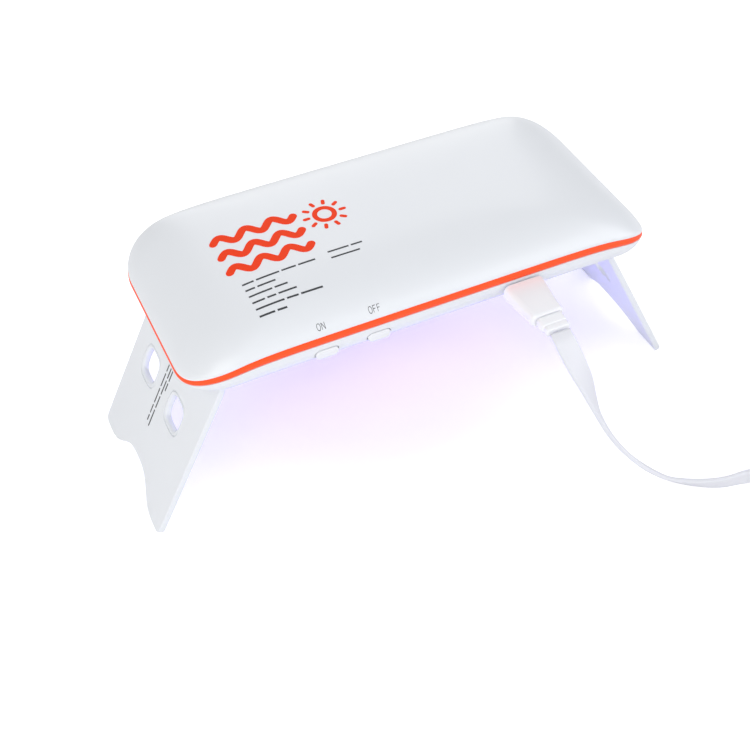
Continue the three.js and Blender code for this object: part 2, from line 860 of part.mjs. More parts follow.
// Opening through a leg with a soft rim on its outer face.
function legWindow(y) {
  const outerFace = legThickness / 2;
  const ringAt = (x, growth) => {
    const points = squircle(y, -windowReach, windowHalfWidth + growth, windowHalfHeight + growth);
    return points.map(([a, b]) => new THREE.Vector3(x, a, b));
  };
  const slope = windowRim / windowRimDepth;
  return skin([
    ringAt(-outerFace - overrun, 0),
    ringAt(outerFace - windowRimDepth, 0),
    ringAt(outerFace, windowRim),
    ringAt(outerFace + overrun, windowRim + overrun * slope),
  ]);
}

function placedLeg(body, side) {
  const geometry = geometryOf(body);
  geometry.rotateY(-legLean);
  geometry.translate(hingeX, 0, hingeZ);
  if (side < 0) geometry.scale(-1, 1, 1);
  return solid(geometry);
}

function heelShape(side) {
  const x = side * hingeX;
  const points = [
    [0, barrelRadius],
    [heelLength, barrelRadius],
    [heelLength, barrelRadius - heelDrop / 2],
    [heelLength - heelDrop / 2, -heelDrop],
    [0, -heelDrop / 2],
  ];
  return shapeOf(points.map(([a, b]) => [x + side * a, hingeZ + b]));
}

function buildLeg(name, side) {
  const half = legThickness / 2;
  const panel = solid(
    alongX(legShape(), -half + legEdgeRound, half - legEdgeRound, {
      bevelEnabled: true,
      bevelSize: legEdgeRound,
      bevelThickness: legEdgeRound,
      bevelSegments: 2,
      curveSegments: 6,
    }),
  );
  const windowPlaces = [windowShift - windowOffset, windowShift + windowOffset];
  const pierced = without(panel, windowPlaces.map(legWindow));
  const width = legHalfWidth - topCornerRadius;
  const x = side * hingeX;
  const barrel = rodAlongY(x, hingeZ, -width, width, barrelRadius, barrelSteps);
  const heel = solid(alongY(heelShape(side), -width, width));
  const whole = joined([placedLeg(pierced, side), barrel, heel]);
  const cutters = [block(x - legReach, x + legReach, -bodyHalfDepth, bodyHalfDepth, -legReach, 0)];
  for (const end of [-1, 1]) {
    const gap = lugHalfWidth + fit;
    const reach = legThickness + heelLength;
    cutters.push(blockAt(x, end * lugOffset, reach, gap, hingeZ - notchDepth, hingeZ + legThickness));
  }
  cutters.push(rodAlongY(x, hingeZ, -bodyHalfDepth, pinHalfLength + fit, pinRadius + fit, barrelSteps));
  keep(name, without(whole, cutters), shellWhite);
  const pin = rodAlongY(x, hingeZ, -pinHalfLength, pinHalfLength, pinRadius, barrelSteps);
  keep(name.replace("_leg", "_hinge_pin"), pin, steel);
  keep(name.replace("_leg", "_leg_spring"), leafSpring(side), steel);
}

// Leaf spring that presses on the hinge barrel.
function leafSpring(side) {
  const upper = [
    [-leafHalfLength, leafRise],
    [-leafBendOuter, leafRise],
    [-leafBendInner, leafThickness],
    [leafBendInner, leafThickness],
    [leafBendOuter, leafRise],
    [leafHalfLength, leafRise],
  ];
  const lower = upper.toReversed().map(([x, z]) => [x, z - leafThickness]);
  const points = [...upper, ...lower].map(([x, z]) => [side * hingeX + x, underside + z]);
  return solid(alongY(shapeOf(points), -leafHalfWidth, leafHalfWidth));
}

// Case screws
function caseScrew(x, y) {
  const top = underside + screwHeadHeight;
  const head = rodAlongZ(x, y, underside, top, screwHeadRadius, screwSteps);
  const middle = underside + screwHeadHeight / 2;
  const shank = rodAlongZ(x, y, middle, underside + screwLength, screwShankRadius, screwSteps);
  const half = screwHeadRadius / 2;
  const slotHalf = screwHeadRadius / 8;
  const depth = screwHeadHeight / 2;
  const slots = [
    block(x - half, x + half, y - slotHalf, y + slotHalf, underside - overrun, underside + depth),
    block(x - slotHalf, x + slotHalf, y - half, y + half, underside - overrun, underside + depth),
  ];
  return without(head.add(shank), slots);
}

// Near plug
function plugRing(y, halfWidth, halfHeight, radius, x = socketX, z = socketZ) {
  return softRectangle(x, z, halfWidth, halfHeight, radius).map(([a, b]) => new THREE.Vector3(a, y, b));
}

function buildNearPlug() {
  const far = gripFace - gripLength;
  const near = gripNearHalfWidth;
  const wide = gripFarHalfWidth;
  const high = gripFarHalfHeight;
  const corner = gripCornerRadius;
  const bulge = [
    plugRing(gripFace, near - fit, gripNearHalfHeight - fit, corner - fit),
    plugRing(gripFace - fit, near, gripNearHalfHeight, corner),
    plugRing(far + gripShoulder, wide, high, corner),
    plugRing(far + gripShoulder / 4, wide - gripShoulder / 3, high - fit, corner),
    plugRing(far, wide - gripShoulder, high - gripShoulder / 2, corner - gripShoulder / 2),
  ];
  const pocketShape = softRectangle(socketX, socketZ, tipHalfWidth + fit, tipHalfHeight + fit, fit);
  const pocket = solid(alongY(shapeOf(pocketShape), gripFace - tipSocket - fit, gripFace + overrun));
  keep("plug_grip", skin(bulge).subtract(pocket), cordWhite);
  const tip = softRectangle(socketX, socketZ, tipHalfWidth, tipHalfHeight, tipHalfHeight / 2);
  keep("plug_tip", solid(alongY(shapeOf(tip), gripFace - tipSocket, gripFace + tipReach)), brightMetal);
  keep("strain_relief", relief(far - fit), cordWhite);
}

// Ribbed strain relief
function relief(start) {
  const rings = [];
  const step = reliefLength / reliefRibs;
  for (let rib = 0; rib < reliefRibs; rib += 1) {
    const y = start - rib * step;
    const halfWidth = reliefHalfWidth - rib / reliefRibs / 2;
    const halfHeight = reliefHalfHeight - rib / reliefRibs / 4;
    const ring = (share, neck) =>
      plugRing(y - step * share, halfWidth - neck, halfHeight - neck / 2, cordRound + fit);
    rings.push(ring(0, 0), ring(reliefRibShare, 0));
    rings.push(ring(reliefNeckStart, reliefNeck), ring(reliefNeckEnd, reliefNeck));
  }
  return skin(rings);
}

// Far plug, lying flat on the table
const farX = coilX + coilOuterRadius;

function buildFarPlug() {
  const z = farGripHalfHeight;
  const y1 = farPlugY + farGripLength;
  const ring = (y, inset) =>
    plugRing(y, farGripHalfWidth - inset, z - inset / 2, farGripCorner - inset / 2, farX, z);
  const body = skin([
    ring(farPlugY, farGripShoulder),
    ring(farPlugY + farGripShoulder, fit),
    ring(farPlugY + farGripShoulder + farGripShoulder, 0),
    ring(y1 - fit, 0),
    ring(y1, fit),
  ]);
  const shellRoot = y1 - farShellRoot;
  const shellEnd = y1 + farShellLength;
  const sleeve = (growth, from, to) => {
    const halfWidth = farShellHalfWidth + growth;
    const section = softRectangle(farX, z, halfWidth, farShellHalfHeight + growth, farShellWall);
    return solid(alongY(shapeOf(section), from, to));
  };
  keep("far_plug_grip", body.subtract(sleeve(fit, shellRoot - fit, y1 + overrun)), cordWhite);
  const outer = sleeve(0, shellRoot, shellEnd);
  const inner = sleeve(-farShellWall, shellRoot + farShellWall, shellEnd + overrun);
  keep("far_plug_shell", outer.subtract(inner), brightMetal);
  const tongueTop = z + farShellHalfHeight - farShellWall - fit;
  const tongueStart = shellRoot + farShellWall + fit;
  const middleY = (tongueStart + shellEnd - farShellWall) / 2;
  const halfLength = middleY - tongueStart;
  const low = tongueTop - farTongueThickness;
  const tongue = blockAt(farX, middleY, farTongueHalfWidth, halfLength, low, tongueTop);
  keep("far_plug_tongue", tongue, blackPlastic);
}

// Cord
function cordSection(soft) {
  const halfWidth = cordWidth / 2;
  const halfThickness = cordThickness / 2;
  const edge = halfWidth - cordRound;
  if (!soft) {
    return [
      [halfWidth, 0],
      [edge, halfThickness],
      [-edge, halfThickness],
      [-halfWidth, 0],
      [-edge, -halfThickness],
      [edge, -halfThickness],
    ];
  }
  const shoulder = halfThickness - cordRound;
  return [
    [halfWidth, -shoulder],
    [halfWidth, shoulder],
    [edge, halfThickness],
    [-edge, halfThickness],
    [-halfWidth, shoulder],
    [-halfWidth, -shoulder],
    [-edge, -halfThickness],
    [edge, -halfThickness],
  ];
}

// Flat tube along a path; wide(share) gives the direction of its width.
function flatTube(path, steps, section, wide) {
  path.computeFrenetFrames = (segments) => {
    const frames = { tangents: [], normals: [], binormals: [] };
    for (let i = 0; i <= segments; i += 1) {
      const share = i / segments;
      const tangent = path.getTangentAt(share);
      const across = wide(share, tangent);
      across.addScaledVector(tangent, -across.dot(tangent)).normalize();
      frames.tangents.push(tangent);
      frames.normals.push(across);
      frames.binormals.push(new THREE.Vector3().crossVectors(tangent, across));
    }
    return frames;
  };
  const shape = shapeOf(section);
  return solid(new THREE.ExtrudeGeometry(shape, { steps, extrudePath: path, bevelEnabled: false }));
}

function routed(points) {
  const places = points.map(([x, y, z]) => new THREE.Vector3(x, y, z));
  return new THREE.CatmullRomCurve3(places, false, "centripetal");
}

function blended(stops) {
  return (share) => {
    let k = 0;
    while (k < stops.length - 2 && share > stops[k + 1][0]) k += 1;
    const [from, a] = stops[k];
    const [to, b] = stops[k + 1];
    const t = THREE.MathUtils.clamp((share - from) / (to - from), 0, 1);
    return new THREE.Vector3(...a).lerp(new THREE.Vector3(...b), t * t * (3 - t - t));
  };
}

const coilAngleEnd = (coilStartTurn + coilTurnsPerLayer * coilLayers) * Math.PI * 2;

// Point of the coil: two layers wound in and back out at a steady rate, climbing about the reversal.
function coilPoint(share) {
  const turn = share * coilTurnsPerLayer * coilLayers;
  const inward = coilTurnsPerLayer - Math.abs(turn - coilTurnsPerLayer);
  const radius = coilOuterRadius - coilPitch * inward;
  const angle = (coilStartTurn + turn) * Math.PI * 2;
  const climb = THREE.MathUtils.smoothstep(turn, coilTurnsPerLayer - 1 / 4, coilTurnsPerLayer + 1 / 4);
  const z = coilLift + cordWidth / 2 + coilLayerStep * climb;
  return new THREE.Vector3(coilX + radius * Math.cos(angle), coilY + radius * Math.sin(angle), z);
}

function coilHeading(angle) {
  return new THREE.Vector3(-Math.sin(angle), Math.cos(angle), 0);
}

function buildCoil() {
  const steps = Math.round(coilTurnsPerLayer * coilLayers * coilStepsPerTurn);
  const points = [];
  const startAngle = coilStartTurn * Math.PI * 2;
  const first = coilPoint(0);
  const last = coilPoint(1);
  points.push(first.clone().addScaledVector(coilHeading(startAngle), -cordWidth));
  for (let i = 0; i <= steps; i += 1) points.push(coilPoint(i / steps));
  points.push(last.clone().addScaledVector(coilHeading(coilAngleEnd), cordWidth));
  keep("cord_coil", ribbon(points, cordSection(false)), cordWhite);
  printLeastGap(points);
  return points;
}

// Skin through a row of points with the cord's width held upright.
function ribbon(points, section) {
  const rings = points.map((p, i) => {
    const ahead = points[Math.min(i + 1, points.length - 1)];
    const behind = points[Math.max(i - 1, 0)];
    const tangent = ahead.clone().sub(behind).normalize();
    const up = new THREE.Vector3(0, 0, 1).addScaledVector(tangent, -tangent.z).normalize();
    const side = new THREE.Vector3().crossVectors(tangent, up);
    return section.map(([w, t]) => p.clone().addScaledVector(up, w).addScaledVector(side, t));
  });
  return skin(rings);
}

function printLeastGap(points) {
  let least = Infinity;
  const skip = coilStepsPerTurn / 2;
  points.forEach((p, i) => {
    points.slice(i + skip).forEach((q) => {
      const across = Math.hypot(p.x - q.x, p.y - q.y) - cordThickness;
      const up = Math.abs(p.z - q.z) - cordWidth;
      least = Math.min(least, Math.max(across, up));
    });
  });
  console.log("least gap of the coil to itself, mm: " + least.toFixed(2));
}

function buildCord() {
  const reliefEnd = gripFace - gripLength - fit - reliefLength - fit;
  const coil = buildCoil();
  const heading = coilHeading(coilStartTurn * Math.PI * 2);
  const meet = coil[0].clone().addScaledVector(heading, -fit);
  const before = meet.clone().addScaledVector(heading, -cordWidth);
  const route = [
    [socketX, reliefEnd, socketZ],
    [socketX, reliefEnd - cordThickness, socketZ - fit],
    ...cordRoute,
    before.toArray(),
    meet.toArray(),
  ];
  keep("cord", flatTube(routed(route), cordSteps, cordSection(true), blended(cordTwist)), cordWhite);
  buildTail(coil[coil.length - 1]);
}

function buildTail(start) {
  const plugEnd = farPlugY - fit;
  const route = [
    [start.x, start.y + fit, start.z],
    [start.x, start.y + cordWidth, start.z - fit],
    [farX, (start.y + plugEnd) / 2, (start.z + farGripHalfHeight) / 2],
    [farX, plugEnd - cordWidth, farGripHalfHeight + fit],
    [farX, plugEnd, farGripHalfHeight],
  ];
  keep("cord_tail", flatTube(routed(route), tailSteps, cordSection(true), blended(tailTwist)), cordWhite);
}

// Direction of the cord's width at shares of its length
const acrossX = [1, 0, 0];
const acrossY = [0, 1, 0];
const upright = [0, 0, 1];
const cordTwist = [
  [0, acrossX],
  [0.12, acrossX],
  [0.34, acrossY],
  [0.74, acrossY],
  [0.95, upright],
  [1, upright],
];
const tailTwist = [
  [0, upright],
  [0.15, upright],
  [0.85, acrossX],
  [1, acrossX],
];

// Route of the hanging cord between the strain relief and the coil
const cordRoute = [
  [25.9, -55.4, 52.6],
  [27.6, -58, 47.5],
  [30, -59.4, 41.5],
  [32.6, -60.4, 34],
  [36, -61.3, 25],
  [40.6, -62.8, 16],
  [45.8, -65.4, 8.6],
  [50.6, -68.8, 4.3],
  [55.4, -73, 2.1],
  [60.8, -77, 1.2],
  [67, -79.9, cordRestHeight],
  [74, -81.2, cordRestHeight],
  [81.5, -83.6, 1.3],
  [88, -89, 2],
  [94.5, -97, 3],
];

// Tie round the coil
function buildTie() {
  const innerY = coilY + coilOuterRadius - coilPitch * coilTurnsPerLayer - cordThickness / 2 - tieGap;
  const outerY = coilY + coilOuterRadius + cordThickness / 2 + tieGap;
  const z0 = coilLift - tieGap;
  const z1 = coilLift + cordWidth + coilLayerStep + tieGap;
  const t = tieThickness;
  const outer = block(coilX - tieWidth / 2, coilX + tieWidth / 2, innerY - t, outerY + t, z0 - t, z1 + t);
  const inner = block(coilX - tieWidth, coilX + tieWidth, innerY, outerY, z0, z1);
  keep("cord_tie", outer.subtract(inner), blackPlastic);
}

buildTopShell();
buildBand();
buildBottomShell();
buildLight();
buildControls();
buildButton("button_left", buttonLeftX);
buildButton("button_right", buttonRightX);
buildLeg("left_leg", -1);
buildLeg("right_leg", 1);
screwPlaces().forEach(([place, x, y]) => keep("case_screw_" + place, caseScrew(x, y), steel));
buildNearPlug();
buildFarPlug();
buildCord();
buildTie();

export default lamp;
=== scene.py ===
import json
import math
import bmesh
import bpy
import numpy as np
from mathutils import Matrix, Vector
from mathutils.geometry import tessellate_polygon


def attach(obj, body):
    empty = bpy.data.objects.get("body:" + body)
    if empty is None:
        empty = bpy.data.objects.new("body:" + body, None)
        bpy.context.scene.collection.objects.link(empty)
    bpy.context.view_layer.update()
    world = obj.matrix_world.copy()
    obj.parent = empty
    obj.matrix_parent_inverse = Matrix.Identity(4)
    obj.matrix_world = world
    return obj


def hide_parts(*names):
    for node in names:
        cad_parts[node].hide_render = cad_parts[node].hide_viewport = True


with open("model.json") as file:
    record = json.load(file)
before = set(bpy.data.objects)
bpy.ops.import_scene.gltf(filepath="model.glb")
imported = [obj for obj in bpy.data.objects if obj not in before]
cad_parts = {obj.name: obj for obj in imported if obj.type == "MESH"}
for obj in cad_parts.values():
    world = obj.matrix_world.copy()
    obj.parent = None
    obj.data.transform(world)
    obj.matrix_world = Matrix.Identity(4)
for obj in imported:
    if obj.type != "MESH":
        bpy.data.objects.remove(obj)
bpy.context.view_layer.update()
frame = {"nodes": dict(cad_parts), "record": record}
nodes = frame["nodes"]
mm = 0.001

# Camera: place in mm, angles in degrees, lens and sensor in mm, nearest distance seen in metres
cameraSettings = {
    "place": (-113.989, -247.086, 282.982),
    "azimuth": -23.829,
    "elevation": 45.751,
    "roll": -1.689,
    "lens": 60.367,
    "sensor": 36,
    "clipStart": 0.01,
}

# Free play between pieces in mm, and the largest outline share that the crown's formula is given
clearance = 0.3
nearRim = 0.9999

# Body sizes in mm and the powers of its curves, with the values of the part's source
bodySizes = {
    "halfLength": 69.2,
    "halfDepth": 31.8,
    "cornerRadius": 14.0,
    "cornerPower": 2.3,
    "lowerHeight": 7.0,
    "bandHeight": 2.95,
    "bandTaper": 1.3,
    "taperPower": 6.0,
    "crownHeight": 7.0,
    "crownFullness": 3.9,
    "crownRoundness": 1.45,
    "endDroop": 6.3,
    "droopPower": 9.0,
    "lowerInset": 3.6,
    "shellGap": 0.25,
    "floorWall": 1.8,
    "sideWall": 1.6,
}

# Leg sizes in mm, lean in radians, windowPower a plain number. windowGroove holds (beyond the rim, depth) and
# windowBackRim (growth, height over the back)
legSizes = {
    "reach": 57.0,
    "lean": math.radians(27),
    "thickness": 1.9,
    "halfWidth": 25.0,
    "meetingGap": 0.4,
    "bodyGap": 0.85,
    "edgeRound": 0.45,
    "archHalfWidth": 19.5,
    "archRise": 6.9,
    "archFlank": 17.94,
    "footCorner": 2.6,
    "topCorner": 3.4,
    "topEdge": 2.2,
    "lugOffset": 17.0,
    "lugHalfWidth": 3.0,
    "notchDepth": 3.4,
    "windowOffset": 10.25,
    "windowShift": 1.5,
    "windowReach": 25.5,
    "windowHalf": (4.4, 4.2),
    "windowRim": 0.8,
    "windowPower": 3.4,
    "windowGroove": ((0.62, 0.0), (0.55, 0.08), (0.52, 0.6), (0.28, 0.6), (0.24, 0.1)),
    "windowBackRim": ((0.0, 0.25), (0.08, 0.07), (0.25, 0.0)),
}
hingeX = legSizes["reach"] + legSizes["meetingGap"]
hingeZ = legSizes["reach"] * math.cos(legSizes["lean"])
hingeZ -= legSizes["thickness"] / 2 * math.sin(legSizes["lean"])
underside = hingeZ + legSizes["thickness"] / 2 + legSizes["bodyGap"]
bandBottom = underside + bodySizes["lowerHeight"]
crownFoot = bandBottom + bodySizes["bandHeight"] + bodySizes["shellGap"]
shellTop = bandBottom - bodySizes["shellGap"]


# Camera turned by azimuth and elevation, then right and up turned about the line of sight by the roll
def makeCamera():
    azimuth = math.radians(cameraSettings["azimuth"])
    elevation = math.radians(cameraSettings["elevation"])
    roll = math.radians(cameraSettings["roll"])
    level = math.cos(elevation)
    back = Vector((math.sin(azimuth) * level, -math.cos(azimuth) * level, math.sin(elevation)))
    right = Vector((math.cos(azimuth), math.sin(azimuth), 0))
    up = back.cross(right)
    turnedRight = right * math.cos(roll) + up * math.sin(roll)
    turnedUp = up * math.cos(roll) - right * math.sin(roll)
    data = bpy.data.cameras.new("photoCamera")
    data.sensor_width = cameraSettings["sensor"]
    data.lens = cameraSettings["lens"]
    data.clip_start = cameraSettings["clipStart"]
    camera = bpy.data.objects.new("photoCamera", data)
    bpy.context.scene.collection.objects.link(camera)
    matrix = Matrix((turnedRight, turnedUp, back)).transposed().to_4x4()
    matrix.translation = Vector(cameraSettings["place"]) * mm
    camera.matrix_world = matrix
    bpy.context.scene.camera = camera


# Surface through closed rows of points in order; the last row meets the first, or both ends close by a fan
def ringMesh(name, rings, looped=False, smooth=True):
    rings = np.asarray(rings, float)
    rows, count = rings.shape[:2]
    points = rings.reshape(-1, 3)
    spans = rows if looped else rows - 1
    row = np.arange(spans)[:, None] * count
    following = (np.arange(spans)[:, None] + 1) % rows * count
    i = np.arange(count)[None, :]
    j = (i + 1) % count
    quads = np.stack([row + i, row + j, following + j, following + i], -1).reshape(-1, 4)
    faces = quads.tolist()
    if not looped:
        points = np.vstack([points, rings[0].mean(0), rings[-1].mean(0)])
        first, last = len(points) - 2, len(points) - 1
        start = (rows - 1) * count
        for k in range(count):
            n = (k + 1) % count
            faces.append([first, n, k])
            faces.append([last, start + k, start + n])
    return meshObject(name, points * mm, faces, smooth)


# Object of points in metres and faces, with its faces turned outward
def meshObject(name, points, faces, smooth=True):
    mesh = bpy.data.meshes.new(name)
    mesh.from_pydata([tuple(p) for p in points], [], faces)
    mesh.validate()
    mesh.update()
    outward(mesh)
    if smooth:
        mesh.shade_smooth()
    item = bpy.data.objects.new(name, mesh)
    bpy.context.scene.collection.objects.link(item)
    return item


# Turns every face round where the sum of a . (b x c) over the triangles of all faces is negative
def outward(mesh):
    volume = 0.0
    for polygon in mesh.polygons:
        corners = [mesh.vertices[v].co for v in polygon.vertices]
        for k in range(1, len(corners) - 1):
            volume += corners[0].dot(corners[k].cross(corners[k + 1]))
    if volume < 0:
        mesh.flip_normals()


# Smooth shading, broken where two faces meet at more than an angle
def sharpen(item, degrees):
    item.data.shade_smooth()
    item.data.set_sharp_from_angle(angle=math.radians(degrees))


# Quarter round of a radius r as pairs of r (1 - sin a) and r (1 - cos a), for angles up to a right angle
def quarterRound(radius, steps, start=0.0):
    angles = np.linspace(start, math.pi / 2, steps)
    return [(radius * (1 - math.sin(a)), radius * (1 - math.cos(a))) for a in angles]


# Cosine and sine of an angle, their sizes raised to 2 / power and their signs kept
def softCircle(angle, power):
    c, s = np.cos(angle), np.sin(angle)
    return np.sign(c) * np.abs(c) ** (2 / power), np.sign(s) * np.abs(s) ** (2 / power)


# Rounded rectangle with corners |x|^p + |y|^p = r^p, going round once from the front right corner
def outlinePoints(endInset=0.0, sideInset=0.0, corner=28, side=60):
    halfLength = bodySizes["halfLength"] - endInset
    halfDepth = bodySizes["halfDepth"] - sideInset
    radius = bodySizes["cornerRadius"] - sideInset
    straight = halfLength - radius
    points = []
    for signX, signY, quarterTurn in ((1, -1, -1), (1, 1, 0), (-1, 1, 1), (-1, -1, 2)):
        angle = (quarterTurn + np.linspace(0, 1, corner + 1)) * math.pi / 2
        c, s = softCircle(angle, bodySizes["cornerPower"])
        x = signX * straight + radius * c
        y = signY * (halfDepth - radius) + radius * s
        points += list(zip(x, y))
        if signX == signY:
            row = np.linspace(1, -1, side + 2)[1:-1] * straight * signX
            points += [(a, signY * halfDepth) for a in row]
    return np.array(points)


# Height lost towards the two ends: droop |x / half length|^power
def droopAt(x):
    return bodySizes["endDroop"] * np.abs(np.asarray(x) / bodySizes["halfLength"]) ** bodySizes["droopPower"]


# Height of the cover above its foot at a share of the outline: height (1 - share^fullness)^(1 / roundness)
def crownAt(share):
    fall = 1 - np.asarray(share) ** bodySizes["crownFullness"]
    return bodySizes["crownHeight"] * fall ** (1 / bodySizes["crownRoundness"])


# Height that the trim band loses towards the two ends: taper |x / half length|^power
def taperAt(x):
    return bodySizes["bandTaper"] * np.abs(np.asarray(x) / bodySizes["halfLength"]) ** bodySizes["taperPower"]


# Outline at a height, less the droop and the taper
def crownRing(points, z):
    return np.c_[points, z - droopAt(points[:, 0]) - taperAt(points[:, 0])]


# Outline at a share of the trim band's own height there, above its drooping foot
def bandRing(points, share):
    height = bodySizes["bandHeight"] - taperAt(points[:, 0])
    return np.c_[points, bandBottom - droopAt(points[:, 0]) + height * share]


# Socket in mm, and the line of the plug and its strain relief out of it along Y
socketSettings = {"x": 25.2, "height": 3.0, "standOff": 0.35, "gripLength": 13.6, "reliefLength": 5.4}
gripFace = -bodySizes["halfDepth"] - socketSettings["standOff"]
reliefStart = gripFace - socketSettings["gripLength"] - clearance
reliefEnd = reliefStart - socketSettings["reliefLength"] - clearance
socketZ = underside + bodySizes["floorWall"] + clearance + socketSettings["height"] / 2

# Flat cord in mm and its coil of two layers in turns; steps are points along a stretch, passes are rounds of
# smoothing
cordSettings = {
    "width": 6.0,
    "thickness": 1.4,
    "round": 0.6,
    "tableGap": 0.15,
    "liftPasses": 60,
    "twistPasses": 16,
    "exitRun": 1.8,
    "sag": 0.3,
    "coilCentre": (131.0, -84.0),
    "coilOuterRadius": 36.7,
    "coilPitch": 3.2,
    "turnsPerLayer": 1.675,
    "startTurn": 0.65,
    "layerStep": 7.0,
    "climbTurns": 0.5,
    "lift": 0.8,
    "farPlugY": -54.0,
    "farGripHalfHeight": 3.75,
    "hangingSteps": 320,
    "coilSteps": 640,
    "joinSteps": 8,
    "tailSteps": 60,
}

# Route of the hanging cord in mm, the same points as in the part's source
cordRoute = [
    (25.9, -55.4, 52.6),
    (27.6, -58, 47.5),
    (30, -59.4, 41.5),
    (32.6, -60.4, 34),
    (36, -61.3, 25),
    (40.6, -62.8, 16),
    (45.8, -65.4, 8.6),
    (50.6, -68.8, 4.3),
    (55.4, -73, 2.1),
    (60.8, -77, 1.2),
    (67, -79.9, 0.95),
    (74, -81.2, 0.95),
    (81.5, -83.6, 1.3),
    (88, -89, 2),
    (94.5, -97, 3),
]

# Direction of the flat cord's width at shares of a stretch: across X at the plugs, on edge along the table
acrossX = (1, 0, 0)
onEdge = (0, 0, -1)
cordTwist = [
    (0, acrossX),
    (0.05, acrossX),
    (0.25, (0.3, 1, 0)),
    (0.4, (0, 1, -0.3)),
    (0.5, (0.3, 0.6, -0.7)),
    (0.7, onEdge),
    (1, onEdge),
]
tailTwist = [(0, onEdge), (0.15, onEdge), (0.85, acrossX), (1, acrossX)]


# Smooth curve through points: knots a square root of each gap apart and three rounds of blends between
# neighbours, then resampled at even steps of its own length
def curveThrough(points, count):
    points = np.array(points, float)
    padded = np.vstack([2 * points[0] - points[1], points, 2 * points[-1] - points[-2]])
    dense = []
    for k in range(len(points) - 1):
        p = padded[k:k + 4]
        t = np.concatenate([[0], np.cumsum(np.linalg.norm(np.diff(p, axis=0), axis=1) ** 0.5)])
        u = np.linspace(t[1], t[2], 24, endpoint=k == len(points) - 2)[:, None]
        a = [blend(p[i], p[i + 1], t[i], t[i + 1], u) for i in range(3)]
        b = [blend(a[i], a[i + 1], t[i], t[i + 2], u) for i in range(2)]
        dense.append(blend(b[0], b[1], t[1], t[2], u))
    return resampled(np.vstack(dense), count)


# Blend of two values at u between two knots: ((t1 - u) a + (u - t0) b) / (t1 - t0)
def blend(a, b, t0, t1, u):
    return (t1 - u) / (t1 - t0) * a + (u - t0) / (t1 - t0) * b


# Points at even steps of the length along a row of points
def resampled(points, count):
    length = np.concatenate([[0], np.cumsum(np.linalg.norm(np.diff(points, axis=0), axis=1))])
    even = np.linspace(0, length[-1], count)
    return np.stack([np.interp(even, length, points[:, axis]) for axis in range(3)], -1)


# Point of the coil at a turn: the radius shrinks and then grows by one pitch a turn, and the height steps up
# by 3 c^2 - 2 c^3 at the middle
def coilPoint(turn):
    turns, climbTurns = cordSettings["turnsPerLayer"], cordSettings["climbTurns"]
    inwardTurns = turns - np.abs(turn - turns)
    radius = cordSettings["coilOuterRadius"] - cordSettings["coilPitch"] * inwardTurns
    angle = (cordSettings["startTurn"] + turn) * 2 * math.pi
    climb = np.clip((turn - turns + climbTurns / 2) / climbTurns, 0, 1)
    climb = climb * climb * (3 - 2 * climb)
    x = cordSettings["coilCentre"][0] + radius * np.cos(angle)
    y = cordSettings["coilCentre"][1] + radius * np.sin(angle)
    z = cordSettings["lift"] + cordSettings["width"] / 2 + cordSettings["layerStep"] * climb
    return np.stack([x, y, z], -1)


# Direction of the coil at a turn: (-sin, cos) of its angle
def heading(turn):
    angle = turn * 2 * math.pi
    return np.array([-math.sin(angle), math.cos(angle), 0])


# Row of values whose inner ones become half of themselves and a quarter of both neighbours, some times over
def smoothed(values, passes):
    for step in range(passes):
        values[1:-1] = (values[:-2] + 2 * values[1:-1] + values[2:]) / 4
    return values


# Direction of the cord's width along a stretch, blended between stops given as (share, direction)
def widthAlong(count, stops):
    share = np.linspace(0, 1, count)
    at = [stop[0] for stop in stops]
    ways = np.array([stop[1] for stop in stops], float)
    out = np.stack([np.interp(share, at, ways[:, axis]) for axis in range(3)], -1)
    return smoothed(out, cordSettings["twistPasses"])


# Flat section swept along points: width direction less its part along the path, section edges rounded
def flatTube(name, path, wide):
    tangent = np.gradient(path, axis=0)
    tangent /= np.linalg.norm(tangent, axis=1)[:, None]
    across = wide - tangent * (wide * tangent).sum(1)[:, None]
    across /= np.linalg.norm(across, axis=1)[:, None]
    side = np.cross(tangent, across)
    halfWidth, halfThickness = cordSettings["width"] / 2, cordSettings["thickness"] / 2
    radius = cordSettings["round"]
    section = []
    for signA, signB, turn in ((1, 1, 0), (-1, 1, 1), (-1, -1, 2), (1, -1, 3)):
        angle = (turn + np.linspace(0, 1, 5)) * math.pi / 2
        a = signA * (halfWidth - radius) + radius * np.cos(angle)
        b = signB * (halfThickness - radius) + radius * np.sin(angle)
        section.append(np.c_[a, b])
    section = np.vstack(section)
    rings = path[:, None] + across[:, None] * section[None, :, :1] + side[:, None] * section[None, :, 1:]
    return ringMesh(name, rings)


# Path raised where the ribbon stands on edge: at least half the width times the upright share of its
# direction and half the thickness times the rest, then smoothed
def laidOnTable(path, wide):
    upright = np.abs(wide[:, 2]) / np.linalg.norm(wide, axis=1)
    halfHeight = (cordSettings["width"] * upright + cordSettings["thickness"] * (1 - upright)) / 2
    z = np.maximum(path[:, 2], halfHeight + cordSettings["tableGap"])
    return np.c_[path[:, :2], smoothed(z, cordSettings["liftPasses"])]


